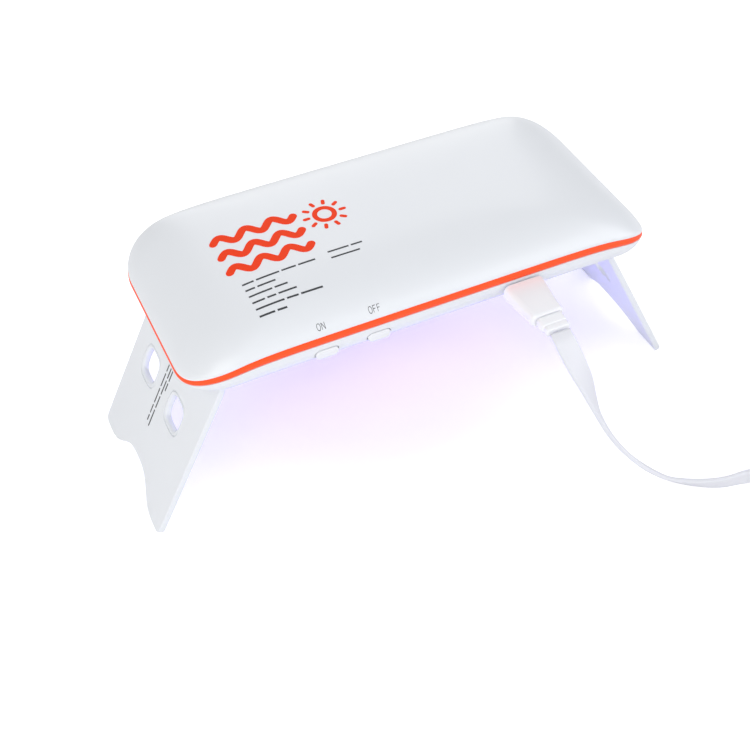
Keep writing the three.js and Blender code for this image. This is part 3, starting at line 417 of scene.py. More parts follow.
# Cord in three stretches: hanging from the plug, the coil with a straight lead at both ends, and the tail
def makeCord():
    turns = cordSettings["turnsPerLayer"] * 2
    first, last = coilPoint(np.array([0.0, turns]))
    startWay, endWay = heading(cordSettings["startTurn"]), heading(cordSettings["startTurn"] + turns)
    width, sag = cordSettings["width"], cordSettings["sag"]
    meet, tailStart = first - startWay * width, last + endWay * width
    x = socketSettings["x"]
    start = [(x, reliefEnd, socketZ), (x, reliefEnd - cordSettings["exitRun"], socketZ - sag)]
    end = [tuple(meet - startWay * width), tuple(meet)]
    hangingWide = widthAlong(cordSettings["hangingSteps"], cordTwist)
    hanging = laidOnTable(curveThrough(start + cordRoute + end, cordSettings["hangingSteps"]), hangingWide)
    coil = np.vstack([
        np.linspace(meet, first, cordSettings["joinSteps"], endpoint=False),
        coilPoint(np.linspace(0, turns, cordSettings["coilSteps"])),
        np.linspace(last, tailStart, cordSettings["joinSteps"])[1:],
    ])
    farX = cordSettings["coilCentre"][0] + cordSettings["coilOuterRadius"]
    farZ = cordSettings["farGripHalfHeight"]
    plugEnd = cordSettings["farPlugY"] - clearance
    tail = curveThrough([
        tuple(tailStart),
        (tailStart[0], tailStart[1] + width, tailStart[2] - sag),
        (farX, (tailStart[1] + plugEnd) / 2, (tailStart[2] + farZ) / 2),
        (farX, plugEnd - width, farZ + sag),
        (farX, plugEnd, farZ),
    ], cordSettings["tailSteps"])
    coilWide = np.tile(onEdge, (len(coil) - 1, 1))
    wide = np.vstack([hangingWide, coilWide, widthAlong(cordSettings["tailSteps"], tailTwist)[1:]])
    path = np.vstack([hanging, coil[1:], tail[1:]])
    cord = flatTube("flatCord", path, wide)
    length = float(np.linalg.norm(np.diff(path, axis=0), axis=1).sum())
    print("cord length, mm:", round(length, 1))
    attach(cord, "lamp")
    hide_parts("cord", "cord_coil", "cord_tail")
    return cord, path, length


makeCamera()
flatCord, cordPath, cordLength = makeCord()
print("camera and cord made")

# Top cover, a soft crown whose height falls from the middle to the rim and whose ends droop. Sizes are in mm;
# rimLift, shares, rows and spacingPower are plain numbers
coverSettings = {
    "rimRound": 0.3,
    "rimLift": 0.6,
    "wall": 1.8,
    "joint": 0.05,
    "cavityEndInset": 7.2,
    "cavitySideInset": 2.2,
    "cavityShares": (0.2, 0.5, 0.74, 0.88, 0.96, 1.0),
    "footInset": 2.0,
    "rows": 70,
    "smallestShare": 0.02,
    "spacingPower": 0.8,
}


# Ring at the lower edge of the cover, just above the trim band
def footRing(points, lift):
    return bandRing(points, bandSettings["high"]) + [0, 0, coverSettings["joint"] + lift]


# Rings from the ceiling's middle out to the foot, round the rim, and up the crown at shares cos^power of u
def makeTopCover():
    rings = []
    sideInset, smallest = coverSettings["cavitySideInset"], coverSettings["smallestShare"]
    inner = outlinePoints(coverSettings["cavityEndInset"], sideInset)
    sideShare = (bodySizes["halfDepth"] - sideInset) / bodySizes["halfDepth"]
    for share in coverSettings["cavityShares"]:
        ceiling = crownFoot + crownAt(share * sideShare) - coverSettings["wall"]
        rings.append(crownRing(inner * share, ceiling))
    rings.append(crownRing(inner, crownFoot + coverSettings["joint"]))
    rings.append(footRing(outlinePoints(coverSettings["footInset"], coverSettings["footInset"]), 0))
    for inset, rise in quarterRound(coverSettings["rimRound"], 5):
        rings.append(footRing(outlinePoints(inset, inset), rise * coverSettings["rimLift"]))
    full = outlinePoints()
    for u in np.linspace(smallest, 1, coverSettings["rows"]):
        share = math.cos(u * math.pi / 2) ** coverSettings["spacingPower"] if u < 1 else 0.0
        share = max(share, smallest)
        rings.append(crownRing(full * share, crownFoot + crownAt(min(share, nearRim))))
    cover = ringMesh("topCover", rings)
    sharpen(cover, 40)
    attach(cover, "lamp")
    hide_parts("top_shell")
    return cover


# Trim band: low and high are shares of the band's height, the rest is in mm
bandSettings = {"bulge": 0.2, "edgeRound": 0.3, "depth": 2.0, "low": -0.1, "high": 0.78, "rows": 15}


# Closed section of the band, its outer face out by the bulge times the root of sin(pi share)
def makeTrimBand():
    section = []
    low, high = bandSettings["low"], bandSettings["high"]
    for share in np.linspace(0, 1, bandSettings["rows"]):
        lift = math.sin(share * math.pi) ** 0.5
        inset = bandSettings["edgeRound"] * (1 - lift) - bandSettings["bulge"] * lift
        section.append((inset, low + (high - low) * share))
    section += [(bandSettings["depth"], high), (bandSettings["depth"], 0)]
    rings = [bandRing(outlinePoints(inset, inset), share) for inset, share in section]
    band = ringMesh("trimBand", rings, looped=True)
    sharpen(band, 40)
    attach(band, "lamp")
    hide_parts("trim_band")
    return band


topCover = makeTopCover()
trimBand = makeTrimBand()
print("body covers made")


# Quarter curve in y and depth v below the hinge: (1 - t)^2 start + 2 t (1 - t) control + t^2 end
def quarter(start, control, end, steps=14):
    t = np.linspace(0, 1, steps + 1)[1:, None]
    start, control, end = (np.array(p, float) for p in (start, control, end))
    return (1 - t) ** 2 * start + 2 * t * (1 - t) * control + t * t * end


# S-shaped curve, level at both ends: a cubic whose two control points a and b lie half way along
def wave(start, end, steps=24):
    t = np.linspace(0, 1, steps + 1)[1:, None]
    start, end = np.array(start, float), np.array(end, float)
    middle = (start[0] + end[0]) / 2
    a, b = np.array([middle, start[1]]), np.array([middle, end[1]])
    return (1 - t) ** 3 * start + 3 * (1 - t) ** 2 * t * a + 3 * (1 - t) * t * t * b + t ** 3 * end


# Outline of a leg panel from the hinge down, with notches for the lugs
def legOutline():
    half, bottom, top = legSizes["halfWidth"], legSizes["reach"], legSizes["topEdge"]
    corner, foot = legSizes["topCorner"], legSizes["footCorner"]
    start, end, flank = -legSizes["archHalfWidth"], legSizes["archHalfWidth"], legSizes["archFlank"]
    high, notch = bottom - legSizes["archRise"], legSizes["notchDepth"]
    parts = [
        np.array([[-half + corner, top]]),
        quarter((-half + corner, top), (-half, top), (-half, top + corner)),
        np.linspace((-half, top + corner), (-half, bottom - foot), 12)[1:],
        quarter((-half, bottom - foot), (-half, bottom), (-half + foot, bottom)),
        np.array([[start, bottom]]),
        wave((start, bottom), (start + flank, high)),
        np.linspace((start + flank, high), (end - flank, high), 6)[1:],
        wave((end - flank, high), (end, bottom)),
        np.array([[half - foot, bottom]]),
        quarter((half - foot, bottom), (half, bottom), (half, bottom - foot)),
        np.linspace((half, bottom - foot), (half, top + corner), 12)[1:],
        quarter((half, top + corner), (half, top), (half - corner, top)),
    ]
    gap = legSizes["lugHalfWidth"] + clearance
    for side in (1, -1):
        near, far = side * legSizes["lugOffset"] + gap, side * legSizes["lugOffset"] - gap
        parts.append(np.array([[near, top], [near, notch], [far, notch], [far, top]]))
    return np.vstack(parts)


# Rim of a leg window: |y|^p + |v|^p = 1 at its half sizes, each grown by an amount
def windowOutline(y, growth, count=72):
    c, s = softCircle(np.linspace(0, 2 * math.pi, count, endpoint=False), legSizes["windowPower"])
    halfY, halfV = (h + growth for h in legSizes["windowHalf"])
    return np.c_[y + halfY * c, legSizes["windowReach"] + halfV * s]


# Closed curve moved inward by an amount along the mean normal of its neighbours
def inward(points, amount):
    before, after = np.roll(points, 1, 0), np.roll(points, -1, 0)
    a, b = points - before, after - points
    a /= np.maximum(np.linalg.norm(a, axis=1), 1e-9)[:, None]
    b /= np.maximum(np.linalg.norm(b, axis=1), 1e-9)[:, None]
    normalA, normalB = np.c_[a[:, 1], -a[:, 0]], np.c_[b[:, 1], -b[:, 0]]
    area = 0.5 * (points[:, 0] * after[:, 1] - after[:, 0] * points[:, 1]).sum()
    mean = (normalA + normalB) / 2
    mean /= np.maximum((mean ** 2).sum(1), 0.5)[:, None]
    return points - mean * amount * np.sign(area)


# Places of leg points (across the thickness t, y, depth v) in the lamp: t along (cos, sin) of the lean and
# v along (sin, -cos) from the hinge, mirrored for the left, with the depth cut off level at the table
def legPlace(points, side):
    lean = legSizes["lean"]
    t, y, v = np.asarray(points, float).T
    v = np.minimum(v, (hingeZ + t * math.sin(lean)) / math.cos(lean))
    x = hingeX + t * math.cos(lean) + v * math.sin(lean)
    z = hingeZ + t * math.sin(lean) - v * math.cos(lean)
    return np.c_[side * x, y, z]


# Four-sided faces between two closed rows of points that start at first and second
def addStrip(faces, first, second, count):
    for k in range(count):
        n = (k + 1) % count
        faces.append([first + k, first + n, second + n, second + k])


# Panel: rounded outer edge rings, window rings with a soft rim, and the two faces filled between them
def legPanel(name, side):
    half = legSizes["thickness"] / 2
    base = legOutline()
    levels = [(inset, half - drop) for inset, drop in quarterRound(legSizes["edgeRound"], 7)]
    levels += [(inset, -t) for inset, t in reversed(levels)]
    points, faces, starts = [], [], []
    total = 0
    for inset, t in levels:
        ring = inward(base, inset)
        points.append(np.c_[np.full(len(ring), t), ring])
        starts.append(total)
        total += len(ring)
    for a, b in zip(starts, starts[1:]):
        addStrip(faces, a, b, len(base))
    caps = {0: [starts[0]], 1: [starts[-1]]}
    counts = [len(base)]
    rim = legSizes["windowRim"]
    for sign in (-1, 1):
        y = legSizes["windowShift"] + sign * legSizes["windowOffset"]
        rows = [(rim + wide, half - depth) for wide, depth in legSizes["windowGroove"]]
        rows += [(inset, half - drop) for inset, drop in quarterRound(rim, 9)]
        rows += [(growth, height - half) for growth, height in legSizes["windowBackRim"]]
        first = total
        for growth, t in rows:
            ring = windowOutline(y, growth)
            points.append(np.c_[np.full(len(ring), t), ring])
            total += len(ring)
        count = len(ring)
        for k in range(len(rows) - 1):
            addStrip(faces, first + k * count, first + (k + 1) * count, count)
        caps[0].append(first)
        caps[1].append(first + (len(rows) - 1) * count)
        counts.append(count)
    points = np.vstack(points)
    flatFrom = len(faces)
    for cap in caps.values():
        index = [list(range(start, start + count)) for start, count in zip(cap, counts)]
        loops = [[Vector((points[i][1], points[i][2], 0)) for i in loop] for loop in index]
        flat = [i for loop in index for i in loop]
        faces += [[flat[i] for i in triangle] for triangle in tessellate_polygon(loops)]
    mesh = bpy.data.meshes.new(name)
    mesh.from_pydata((legPlace(points, side) * mm).tolist(), [], faces)
    work = bmesh.new()
    work.from_mesh(mesh)
    bmesh.ops.recalc_face_normals(work, faces=work.faces)
    work.to_mesh(mesh)
    work.free()
    outward(mesh)
    mesh.shade_smooth()
    for polygon in mesh.polygons[flatFrom:]:
        polygon.use_smooth = False
    item = bpy.data.objects.new(name, mesh)
    bpy.context.scene.collection.objects.link(item)
    return item


# Hinge barrel in mm, with the corners of its heel as (out, up) from the axis
barrelSettings = {
    "radius": 1.5,
    "bore": 1.0,
    "halfWidth": 21.6,
    "steps": 96,
    "heel": ((0.0, 1.5), (3.6, 1.5), (3.6, 0.7), (2.8, -1.6), (0.0, -0.8)),
}


# Farther of the barrel's radius and the heel's edge at an angle: a ray along w meets the side a + s e at
# (a x e) / (w x e), where s = (a x w) / (w x e) is from 0 to 1
def heelReach(angle):
    way = np.array([math.cos(angle), math.sin(angle)])
    corners = np.array(barrelSettings["heel"])
    reach = barrelSettings["radius"]
    for a, b in zip(corners, np.roll(corners, -1, 0)):
        edge = b - a
        cross = way[0] * edge[1] - way[1] * edge[0]
        if abs(cross) < 1e-9:
            continue
        far = (a[0] * edge[1] - a[1] * edge[0]) / cross
        share = (a[0] * way[1] - a[1] * way[0]) / cross
        if far > 0 and -1e-6 <= share <= 1 + 1e-6:
            reach = max(reach, far)
    return reach


# Barrel between two places along Y: outer rings at the reach of each angle, inner rings at the bore
def hingeBarrel(name, side, y0, y1):
    angles = np.linspace(0, 2 * math.pi, barrelSettings["steps"], endpoint=False)
    circle = np.c_[np.cos(angles), np.sin(angles)]
    outer = circle * np.array([heelReach(a) for a in angles])[:, None]
    inner = circle * barrelSettings["bore"]
    rings = []
    for ring, y in ((outer, y0), (outer, y1), (inner, y1), (inner, y0)):
        rings.append(np.c_[side * (hingeX + ring[:, 0]), np.full(len(ring), y), hingeZ + ring[:, 1]])
    item = ringMesh(name, rings, looped=True)
    sharpen(item, 30)
    return item


# One object of several
def joinAll(name, items):
    chosen = {"active_object": items[0], "selected_editable_objects": items, "selected_objects": items}
    with bpy.context.temp_override(**chosen):
        bpy.ops.object.join()
    items[0].name = name
    return items[0]


# Panel with three lengths of barrel, cut where the lugs stand
def makeLeg(name, side):
    gap = legSizes["lugHalfWidth"] + clearance
    near, far = legSizes["lugOffset"] - gap, legSizes["lugOffset"] + gap
    wide = barrelSettings["halfWidth"]
    pieces = [legPanel(name, side)]
    for y0, y1 in ((-wide, -far), (-near, near), (far, wide)):
        pieces.append(hingeBarrel(name + "Barrel", side, y0, y1))
    leg = joinAll(name, pieces)
    node = "left_leg" if side < 0 else "right_leg"
    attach(leg, node)
    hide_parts(node)
    return leg


legs = [makeLeg("leftLegPanel", -1), makeLeg("rightLegPanel", 1)]
print("legs made")


# Rounded rectangle in X and Z about a centre, its corners quarters of a circle
def softSection(x, z, halfX, halfZ, radius, y, steps=10):
    radius = min(radius, halfX, halfZ)
    rows = []
    for signX, signZ, turn in ((1, -1, -1), (1, 1, 0), (-1, 1, 1), (-1, -1, 2)):
        angle = (turn + np.linspace(0, 1, steps + 1)) * math.pi / 2
        across = x + signX * (halfX - radius) + radius * np.cos(angle)
        height = z + signZ * (halfZ - radius) + radius * np.sin(angle)
        rows.append(np.c_[across, np.full(len(angle), y), height])
    return np.vstack(rows)


# Push buttons in mm; zShare is the share of the lower shell's height that they sit down from its top
buttonSettings = {
    "places": {"button_left": -32.0, "button_right": -17.2},
    "halfWidth": 3.2,
    "halfHeight": 1.45,
    "proud": 0.8,
    "dome": 0.1,
    "edgeRound": 0.5,
    "cornerEase": 0.1,
    "zShare": 0.54,
    "flangeHalfWidth": 4.1,
    "flangeRise": 0.85,
    "flangeDepth": 0.6,
    "flangeCorner": 0.2,
}
buttonZ = shellTop - (shellTop - underside) * buttonSettings["zShare"]


# Cap with a face domed by 1 - share^2 and a round edge, and the flange that holds it behind the wall, where
# the wall stands in by 1 - sqrt(1 - zShare^2) of the lower shell's inset
def makeButton(node, x):
    share = buttonSettings["zShare"]
    wall = -bodySizes["halfDepth"] + bodySizes["lowerInset"] * (1 - math.sqrt(1 - share * share))
    y0 = wall - buttonSettings["proud"]
    y1 = wall + bodySizes["sideWall"] + clearance + buttonSettings["flangeDepth"]
    wide, high, edge = buttonSettings["halfWidth"], buttonSettings["halfHeight"], buttonSettings["edgeRound"]
    corner = high - buttonSettings["cornerEase"]
    rings = []
    for share in (0.3, 0.6, 0.85):
        y = y0 - buttonSettings["dome"] * (1 - share * share)
        rings.append(softSection(x, buttonZ, (wide - edge) * share, (high - edge) * share, high, y))
    for inset, drop in quarterRound(edge, 8):
        rings.append(softSection(x, buttonZ, wide - inset, high - inset, corner - inset, y0 + drop))
    rings.append(softSection(x, buttonZ, wide, high, corner, y1))
    cap = ringMesh(node + "Cap", rings)
    sharpen(cap, 45)
    low = buttonZ + buttonSettings["flangeRise"]
    top = underside + bodySizes["floorWall"] + clearance + socketSettings["height"]
    across, corner = buttonSettings["flangeHalfWidth"], buttonSettings["flangeCorner"]
    ends = (y1 - buttonSettings["flangeDepth"], y1)
    rings = [softSection(x, (low + top) / 2, across, (top - low) / 2, corner, y) for y in ends]
    flange = ringMesh(node + "Flange", rings)
    sharpen(flange, 30)
    cap = joinAll(node + "Cap", [cap, flange])
    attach(cap, node)
    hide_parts(node)
    return cap


# Plug grip in mm, near and far as half width and half height; a share of the shoulder rounds its height
plugSettings = {
    "near": (5.9, 2.4),
    "far": (4.9, 2.1),
    "corner": 1.7,
    "faceCorner": 1.2,
    "faceRound": 0.3,
    "shoulder": 1.1,
    "shoulderShare": 0.5,
    "endShare": 0.5,
    "endCorner": 0.6,
}


# Grip: sections that narrow by 3 s^2 - 2 s^3 from the socket, both ends rounded over
def makePlugGrip():
    (nearX, nearZ), (farX, farZ) = plugSettings["near"], plugSettings["far"]
    x, length, corner = socketSettings["x"], socketSettings["gripLength"], plugSettings["corner"]
    faceRound, shoulder = plugSettings["faceRound"], plugSettings["shoulder"]
    half, endShare = plugSettings["shoulderShare"], plugSettings["endShare"]
    rings = []
    for share in (0.4, 0.8):
        wide, high = (nearX - faceRound) * share, (nearZ - faceRound) * share
        rings.append(softSection(x, socketZ, wide, high, plugSettings["faceCorner"], gripFace))
    for inset, drop in quarterRound(faceRound, 5):
        rings.append(softSection(x, socketZ, nearX - inset, nearZ - inset, corner, gripFace - drop))
    for share in np.linspace(0.06, 1, 12):
        ease = share * share * (3 - 2 * share)
        wide, high = nearX + (farX - nearX) * ease, nearZ + (farZ - nearZ) * ease
        y = gripFace - faceRound - (length - faceRound - shoulder) * share
        rings.append(softSection(x, socketZ, wide, high, corner, y))
    for rise, inset in quarterRound(shoulder, 8, 0.2):
        wide, high, y = farX - inset, farZ - inset * half, gripFace - length + rise
        rings.append(softSection(x, socketZ, wide, high, corner - inset * half, y))
    wide, high = (farX - shoulder) * endShare, (farZ - shoulder * half) * endShare
    rings.append(softSection(x, socketZ, wide, high, plugSettings["endCorner"], gripFace - length))
    grip = ringMesh("plugGrip", rings)
    sharpen(grip, 50)
    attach(grip, "lamp")
    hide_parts("plug_grip")
    return grip


# Strain relief in mm: collar and shorter lip behind it, edges rounded, as (depth, half width, half height)
reliefSettings = {
    "corner": 0.9,
    "profile": (
        (0.0, 3.4, 1.2),
        (0.0, 3.75, 1.45),
        (0.15, 3.85, 1.52),
        (2.7, 3.75, 1.5),
        (2.95, 3.62, 1.42),
        (3.05, 3.3, 1.2),
        (3.35, 3.3, 1.2),
        (3.4, 3.45, 1.3),
        (3.55, 3.55, 1.38),
        (4.7, 3.5, 1.36),
        (4.95, 3.4, 1.28),
        (5.1, 3.2, 1.1),
        (5.1, 2.0, 0.6),
    ),
}


# Sections of the profile, one behind the other along Y
def makeStrainRelief():
    x, corner = socketSettings["x"], reliefSettings["corner"]
    rings = []
    for depth, wide, high in reliefSettings["profile"]:
        rings.append(softSection(x, socketZ, wide, high, corner, reliefStart - depth))
    relief = ringMesh("strainRelief", rings)
    sharpen(relief, 50)
    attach(relief, "lamp")
    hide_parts("strain_relief")
    return relief


buttonCaps = [makeButton(node, x) for node, x in buttonSettings["places"].items()]
plugGrip = makePlugGrip()
strainRelief = makeStrainRelief()


print("buttons and plug made")


# Prints in mm: closed flat strokes on the cover and the left leg, from just under the surface to over it
printSettings = {"lift": 0.05, "sink": 0.08, "halvings": 40, "endAngles": (0.25, 1.5, 6)}


# Share of the outline that passes through a point, halved in on from both sides
def shareAt(points):
    x, y = np.abs(points[:, 0]), np.abs(points[:, 1])
    radius, power = bodySizes["cornerRadius"], bodySizes["cornerPower"]
    straightX, straightY = bodySizes["halfLength"] - radius, bodySizes["halfDepth"] - radius
    low, high = np.full(len(points), 1e-3), np.ones(len(points))
    for step in range(printSettings["halvings"]):
        share = (low + high) / 2
        u, v = x / share, y / share
        bentX = (np.maximum(u - straightX, 0) / radius) ** power
        bentY = (np.maximum(v - straightY, 0) / radius) ** power
        inside = bentX + bentY <= 1
        high = np.where(inside, share, high)
        low = np.where(inside, low, share)
    return high


# Points on the crown, raised by a lift
def onCover(points, lift):
    ring = crownRing(points, crownFoot + crownAt(np.minimum(shareAt(points), nearRim)))
    return ring + [0, 0, lift]


# Points (y, depth) on the outer face of the left leg, raised by a lift
def onLeftLeg(points, lift):
    return legPlace(np.c_[np.full(len(points), legSizes["thickness"] / 2 + lift), points], -1)


# Half circles added to both ends of a stroke: out by half the width times sin a, and cos a as wide
def roundedEnds(points, half):
    angle = np.linspace(*printSettings["endAngles"])
    reach, share = half[0] * np.sin(angle)[:, None], np.cos(angle)
    first, last = points[0] - points[1], points[-1] - points[-2]
    before = points[0] + reach * first / np.linalg.norm(first)
    after = points[-1] + reach * last / np.linalg.norm(last)
    widths = np.concatenate([half[0] * share[::-1], half, half[0] * share])
    return np.vstack([before[::-1], points, after]), widths


# Stroke of even width along a row of points: half of it to each side, square to the way (x, y) along (-y, x)
def strokeMesh(name, points, width, place, rounded=False):
    points, half = np.array(points, float), np.full(len(points), width / 2)
    if rounded:
        points, half = roundedEnds(points, half)
    way = np.gradient(points, axis=0)
    way /= np.linalg.norm(way, axis=1)[:, None]
    across = np.c_[-way[:, 1], way[:, 0]] * half[:, None]
    left, right = points + across, points - across
    lift, sink = printSettings["lift"], -printSettings["sink"]
    rows = [place(left, lift), place(right, lift), place(right, sink), place(left, sink)]
    return ringMesh(name, np.stack(rows, 1), smooth=False)


# Points of a circle between two angles in degrees
def arc(centre, radius, start, end, count=48):
    angle = np.radians(np.linspace(start, end, count))
    return np.c_[centre[0] + radius * np.cos(angle), centre[1] + radius * np.sin(angle)]


# Wave line: straight in X, with height sin(2 pi waves t) in Y
def swing(start, length, height, waves, count=90):
    t = np.linspace(0, 1, count)
    return np.c_[start[0] + length * t, start[1] + height * np.sin(t * waves * 2 * math.pi)]


# Places and sizes of the print in mm; dashes are the lengths in each row
artSettings = {
    "waves": {
        "start": (-47.5, 7.6),
        "length": 23.0,
        "height": 1.5,
        "count": 3.0,
        "width": 2.3,
        "rows": 3,
        "step": 6.4,
    },
    "sun": {
        "centre": (-16.4, 4.6),
        "radius": 2.7,
        "width": 1.4,
        "rays": 10,
        "rayFrom": 4.7,
        "rayTo": 5.8,
        "rayWidth": 0.75,
    },
    "rows": {
        "start": (-46.5, -11.4),
        "step": 2.45,
        "width": 0.55,
        "dashes": (
            (3.2, 6.4, 4.0, 4.8),
            (2.6, 5.0),
            (6.4, 3.6),
            (3.4, 2.4, 5.0),
            (7.8, 3.2, 6.0),
            (4.2, 2.6),
        ),
    },
    "side": {"start": (-22.0, -10.4), "step": 2.45, "width": 0.5, "dashes": ((6.0, 3.2), (8.2,))},
    "legMarks": {
        "from": 17.5,
        "gap": 0.8,
        "width": 0.45,
        "columns": ((-0.4, (3.6, 2.6)), (0.9, (3.6, 5.0, 4.2, 6.0)), (2.6, (2.4, 4.6, 5.2, 3.0, 2.0))),
    },
    "labels": {"height": 1.3, "width": 0.11, "y": -31.2, "places": {"ON": -34.0, "OFF": -19.6}},
    "spacing": {"O": 1.0, "N": 0.9, "F": 0.9},
    "dashGap": 0.7,
}


# Dashes in a row along X, each a gap after the last
def dashRow(start, lengths, width, place):
    x, y = start
    strokes = []
    for length in lengths:
        strokes.append(strokeMesh("dash", np.linspace((x, y), (x + length, y), 4), width, place))
        x += length + artSettings["dashGap"]
    return strokes


# Rows of dashes, one step apart in Y
def dashBlock(values, place):
    strokes = []
    for row, lengths in enumerate(values["dashes"]):
        start = (values["start"][0], values["start"][1] - row * values["step"])
        strokes += dashRow(start, lengths, values["width"], place)
    return strokes


# Straight strokes of the letters in a box one high, as (start, end, points)
letterStrokes = {
    "N": (((0, 0), (0, 1), 4), ((0, 1), (0.66, 0), 6), ((0.66, 0), (0.66, 1), 4)),
    "F": (((0, 0), (0, 1), 4), ((0, 1), (0.55, 1), 4), ((0, 0.52), (0.45, 0.52), 4)),
}


# Strokes of a letter, with the O as an ellipse
def letterLines(letter):
    if letter == "O":
        return [arc((0, 0), 1, 90, 450) * [0.36, 0.5] + [0.36, 0.5]]
    return [np.linspace(*stroke) for stroke in letterStrokes[letter]]


# Letters side by side, each box as wide as its spacing times the height
def word(text, x, y):
    size, width = artSettings["labels"]["height"], artSettings["labels"]["width"]
    strokes = []
    for letter in text:
        for line in letterLines(letter):
            strokes.append(strokeMesh("letter", line * size + [x, y], width, onCover))
        x += size * artSettings["spacing"][letter]
    return strokes


# Three waves and a sun in orange, dashes and the two words in grey, and dashes on the left leg
def makePrints():
    art = artSettings
    waves = art["waves"]
    orange = []
    for row in range(waves["rows"]):
        start = (waves["start"][0], waves["start"][1] - row * waves["step"])
        line = swing(start, waves["length"], waves["height"], waves["count"])
        orange.append(strokeMesh("wave", line, waves["width"], onCover, True))
    sun = art["sun"]
    orange.append(strokeMesh("ring", arc(sun["centre"], sun["radius"], 0, 360), sun["width"], onCover))
    for k in range(sun["rays"]):
        turn = k * 2 * math.pi / sun["rays"]
        way, centre = np.array([math.cos(turn), math.sin(turn)]), np.array(sun["centre"])
        line = np.linspace(centre + way * sun["rayFrom"], centre + way * sun["rayTo"], 4)
        orange.append(strokeMesh("ray", line, sun["width"] * sun["rayWidth"], onCover, True))
    grey = dashBlock(art["rows"], onCover) + dashBlock(art["side"], onCover)
    for text, x in art["labels"]["places"].items():
        grey += word(text, x, art["labels"]["y"])
    marks = art["legMarks"]
    legStrokes = []
    for y, lengths in marks["columns"]:
        v = marks["from"]
        for length in lengths:
            line = np.linspace((y, v), (y, v + length), 4)
            legStrokes.append(strokeMesh("legDash", line, marks["width"], onLeftLeg))
            v += length + marks["gap"]
    orangePrint, greyPrint = joinAll("orangePrint", orange), joinAll("greyPrint", grey)
    legPrint = joinAll("legPrint", legStrokes)
    for item in (orangePrint, greyPrint):
        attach(item, "lamp")
    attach(legPrint, "left_leg")
    return orangePrint, greyPrint, legPrint


orangePrint, greyPrint, legPrint = makePrints()
print("prints made")


# New material, its node tree and its shader
def newMaterial(name):
    material = bpy.data.materials.new(name)
    material.use_nodes = True
    tree = material.node_tree
    return material, tree, tree.nodes["Principled BSDF"]


# New node, each value given to the input or else the setting of that name
def addNode(tree, kind, **values):
    node = tree.nodes.new(kind)
    for key, value in values.items():
        if key in node.inputs:
            node.inputs[key].default_value = value
        else:
            setattr(node, key, value)
    return node


# Values of a node's inputs by their names
def setInputs(node, values):
    for key, value in values.items():
        node.inputs[key].default_value = value


# Links, each given as (node, output, node, input)
def wire(tree, *links):
    for source, output, target, entry in links:
        tree.links.new(source.outputs[output], target.inputs[entry])


# Noise in the object's own coordinates
def objectNoise(tree, scale, detail):
    place = addNode(tree, "ShaderNodeTexCoord")
    noise = addNode(tree, "ShaderNodeTexNoise", Scale=scale, Detail=detail)
    wire(tree, (place, "Object", noise, "Vector"))
    return noise


# Base colour that follows a noise, between a colour times a low and a high share
def tintBy(tree, noise, shader, color, low, high):
    tint = addNode(tree, "ShaderNodeValToRGB")
    for element, share in zip(tint.color_ramp.elements, (low, high)):
        element.color = (*[min(c * share, 1) for c in color], 1)
    wire(tree, (noise, "Fac", tint, "Fac"), (tint, "Color", shader, "Base Color"))


# Roughness that follows a noise, between a roughness times a low and a high share
def glossBy(tree, noise, shader, roughness, low, high):
    gloss = addNode(tree, "ShaderNodeMapRange")
    setInputs(gloss, {"To Min": roughness * low, "To Max": roughness * high})
    wire(tree, (noise, "Fac", gloss, "Value"), (gloss, "Result", shader, "Roughness"))


# Bump that follows a noise, its distance in metres
def bumpBy(tree, noise, shader, strength, distance):
    bump = addNode(tree, "ShaderNodeBump", Strength=strength, Distance=distance)
    wire(tree, (noise, "Fac", bump, "Height"), (bump, "Normal", shader, "Normal"))


# Moulded plastics and the flat cord
plasticSettings = {
    "shell": {"color": (0.76, 0.785, 0.825), "roughness": 0.38, "grain": 0.008, "coat": 0.2},
    "band": {"color": (1.0, 0.085, 0.012), "roughness": 0.42, "grain": 0.02, "coat": 0.0, "specular": 0.3},
    "button": {"color": (0.77, 0.785, 0.83), "roughness": 0.28, "grain": 0.01, "coat": 0.3},
    "black_plastic": {"color": (0.02, 0.02, 0.023), "roughness": 0.5, "grain": 0.06, "coat": 0.0},
    "plug": {"color": (0.88, 0.89, 0.93), "roughness": 0.35, "grain": 0.01, "coat": 0.1},
    "cord": {"color": (0.735, 0.745, 0.8), "roughness": 0.45, "grain": 0.02, "coat": 0.05},
}


# Plastic whose colour and gloss follow the slow noise and whose bump follows the fine one
def plastic(slot):
    values = plasticSettings[slot]
    material, tree, shader = newMaterial(slot + "Plastic")
    drift, grain = objectNoise(tree, 90.0, 3.0), objectNoise(tree, 2600.0, 2.0)
    tintBy(tree, drift, shader, values["color"], 0.99, 1.006)
    glossBy(tree, drift, shader, values["roughness"], 0.94, 1.06)
    bumpBy(tree, grain, shader, values["grain"] * 4, 0.00005)
    specular = values.get("specular", 0.5)
    setInputs(shader, {"Coat Weight": values["coat"], "Coat Roughness": 0.15, "Specular IOR Level": specular})
    return material


inkSettings = {"grey": (0.06, 0.063, 0.07), "orange": (0.86, 0.045, 0.002), "roughness": 0.6, "specular": 0.2}


# Printing ink, slightly uneven in depth of colour
def ink(tone):
    material, tree, shader = newMaterial(tone + "Ink")
    tintBy(tree, objectNoise(tree, 1500.0, 2.0), shader, inkSettings[tone], 0.95, 1.05)
    setInputs(shader, {"Roughness": inkSettings["roughness"], "Specular IOR Level": inkSettings["specular"]})
    return material


metalSettings = {
    "steel": {"color": (0.42, 0.43, 0.45), "roughness": 0.32, "lines": 900.0},
    "plug_metal": {"color": (0.62, 0.62, 0.63), "roughness": 0.22, "lines": 500.0},
    "reflector": {"color": (0.75, 0.73, 0.8), "roughness": 0.18, "lines": 200.0},
}


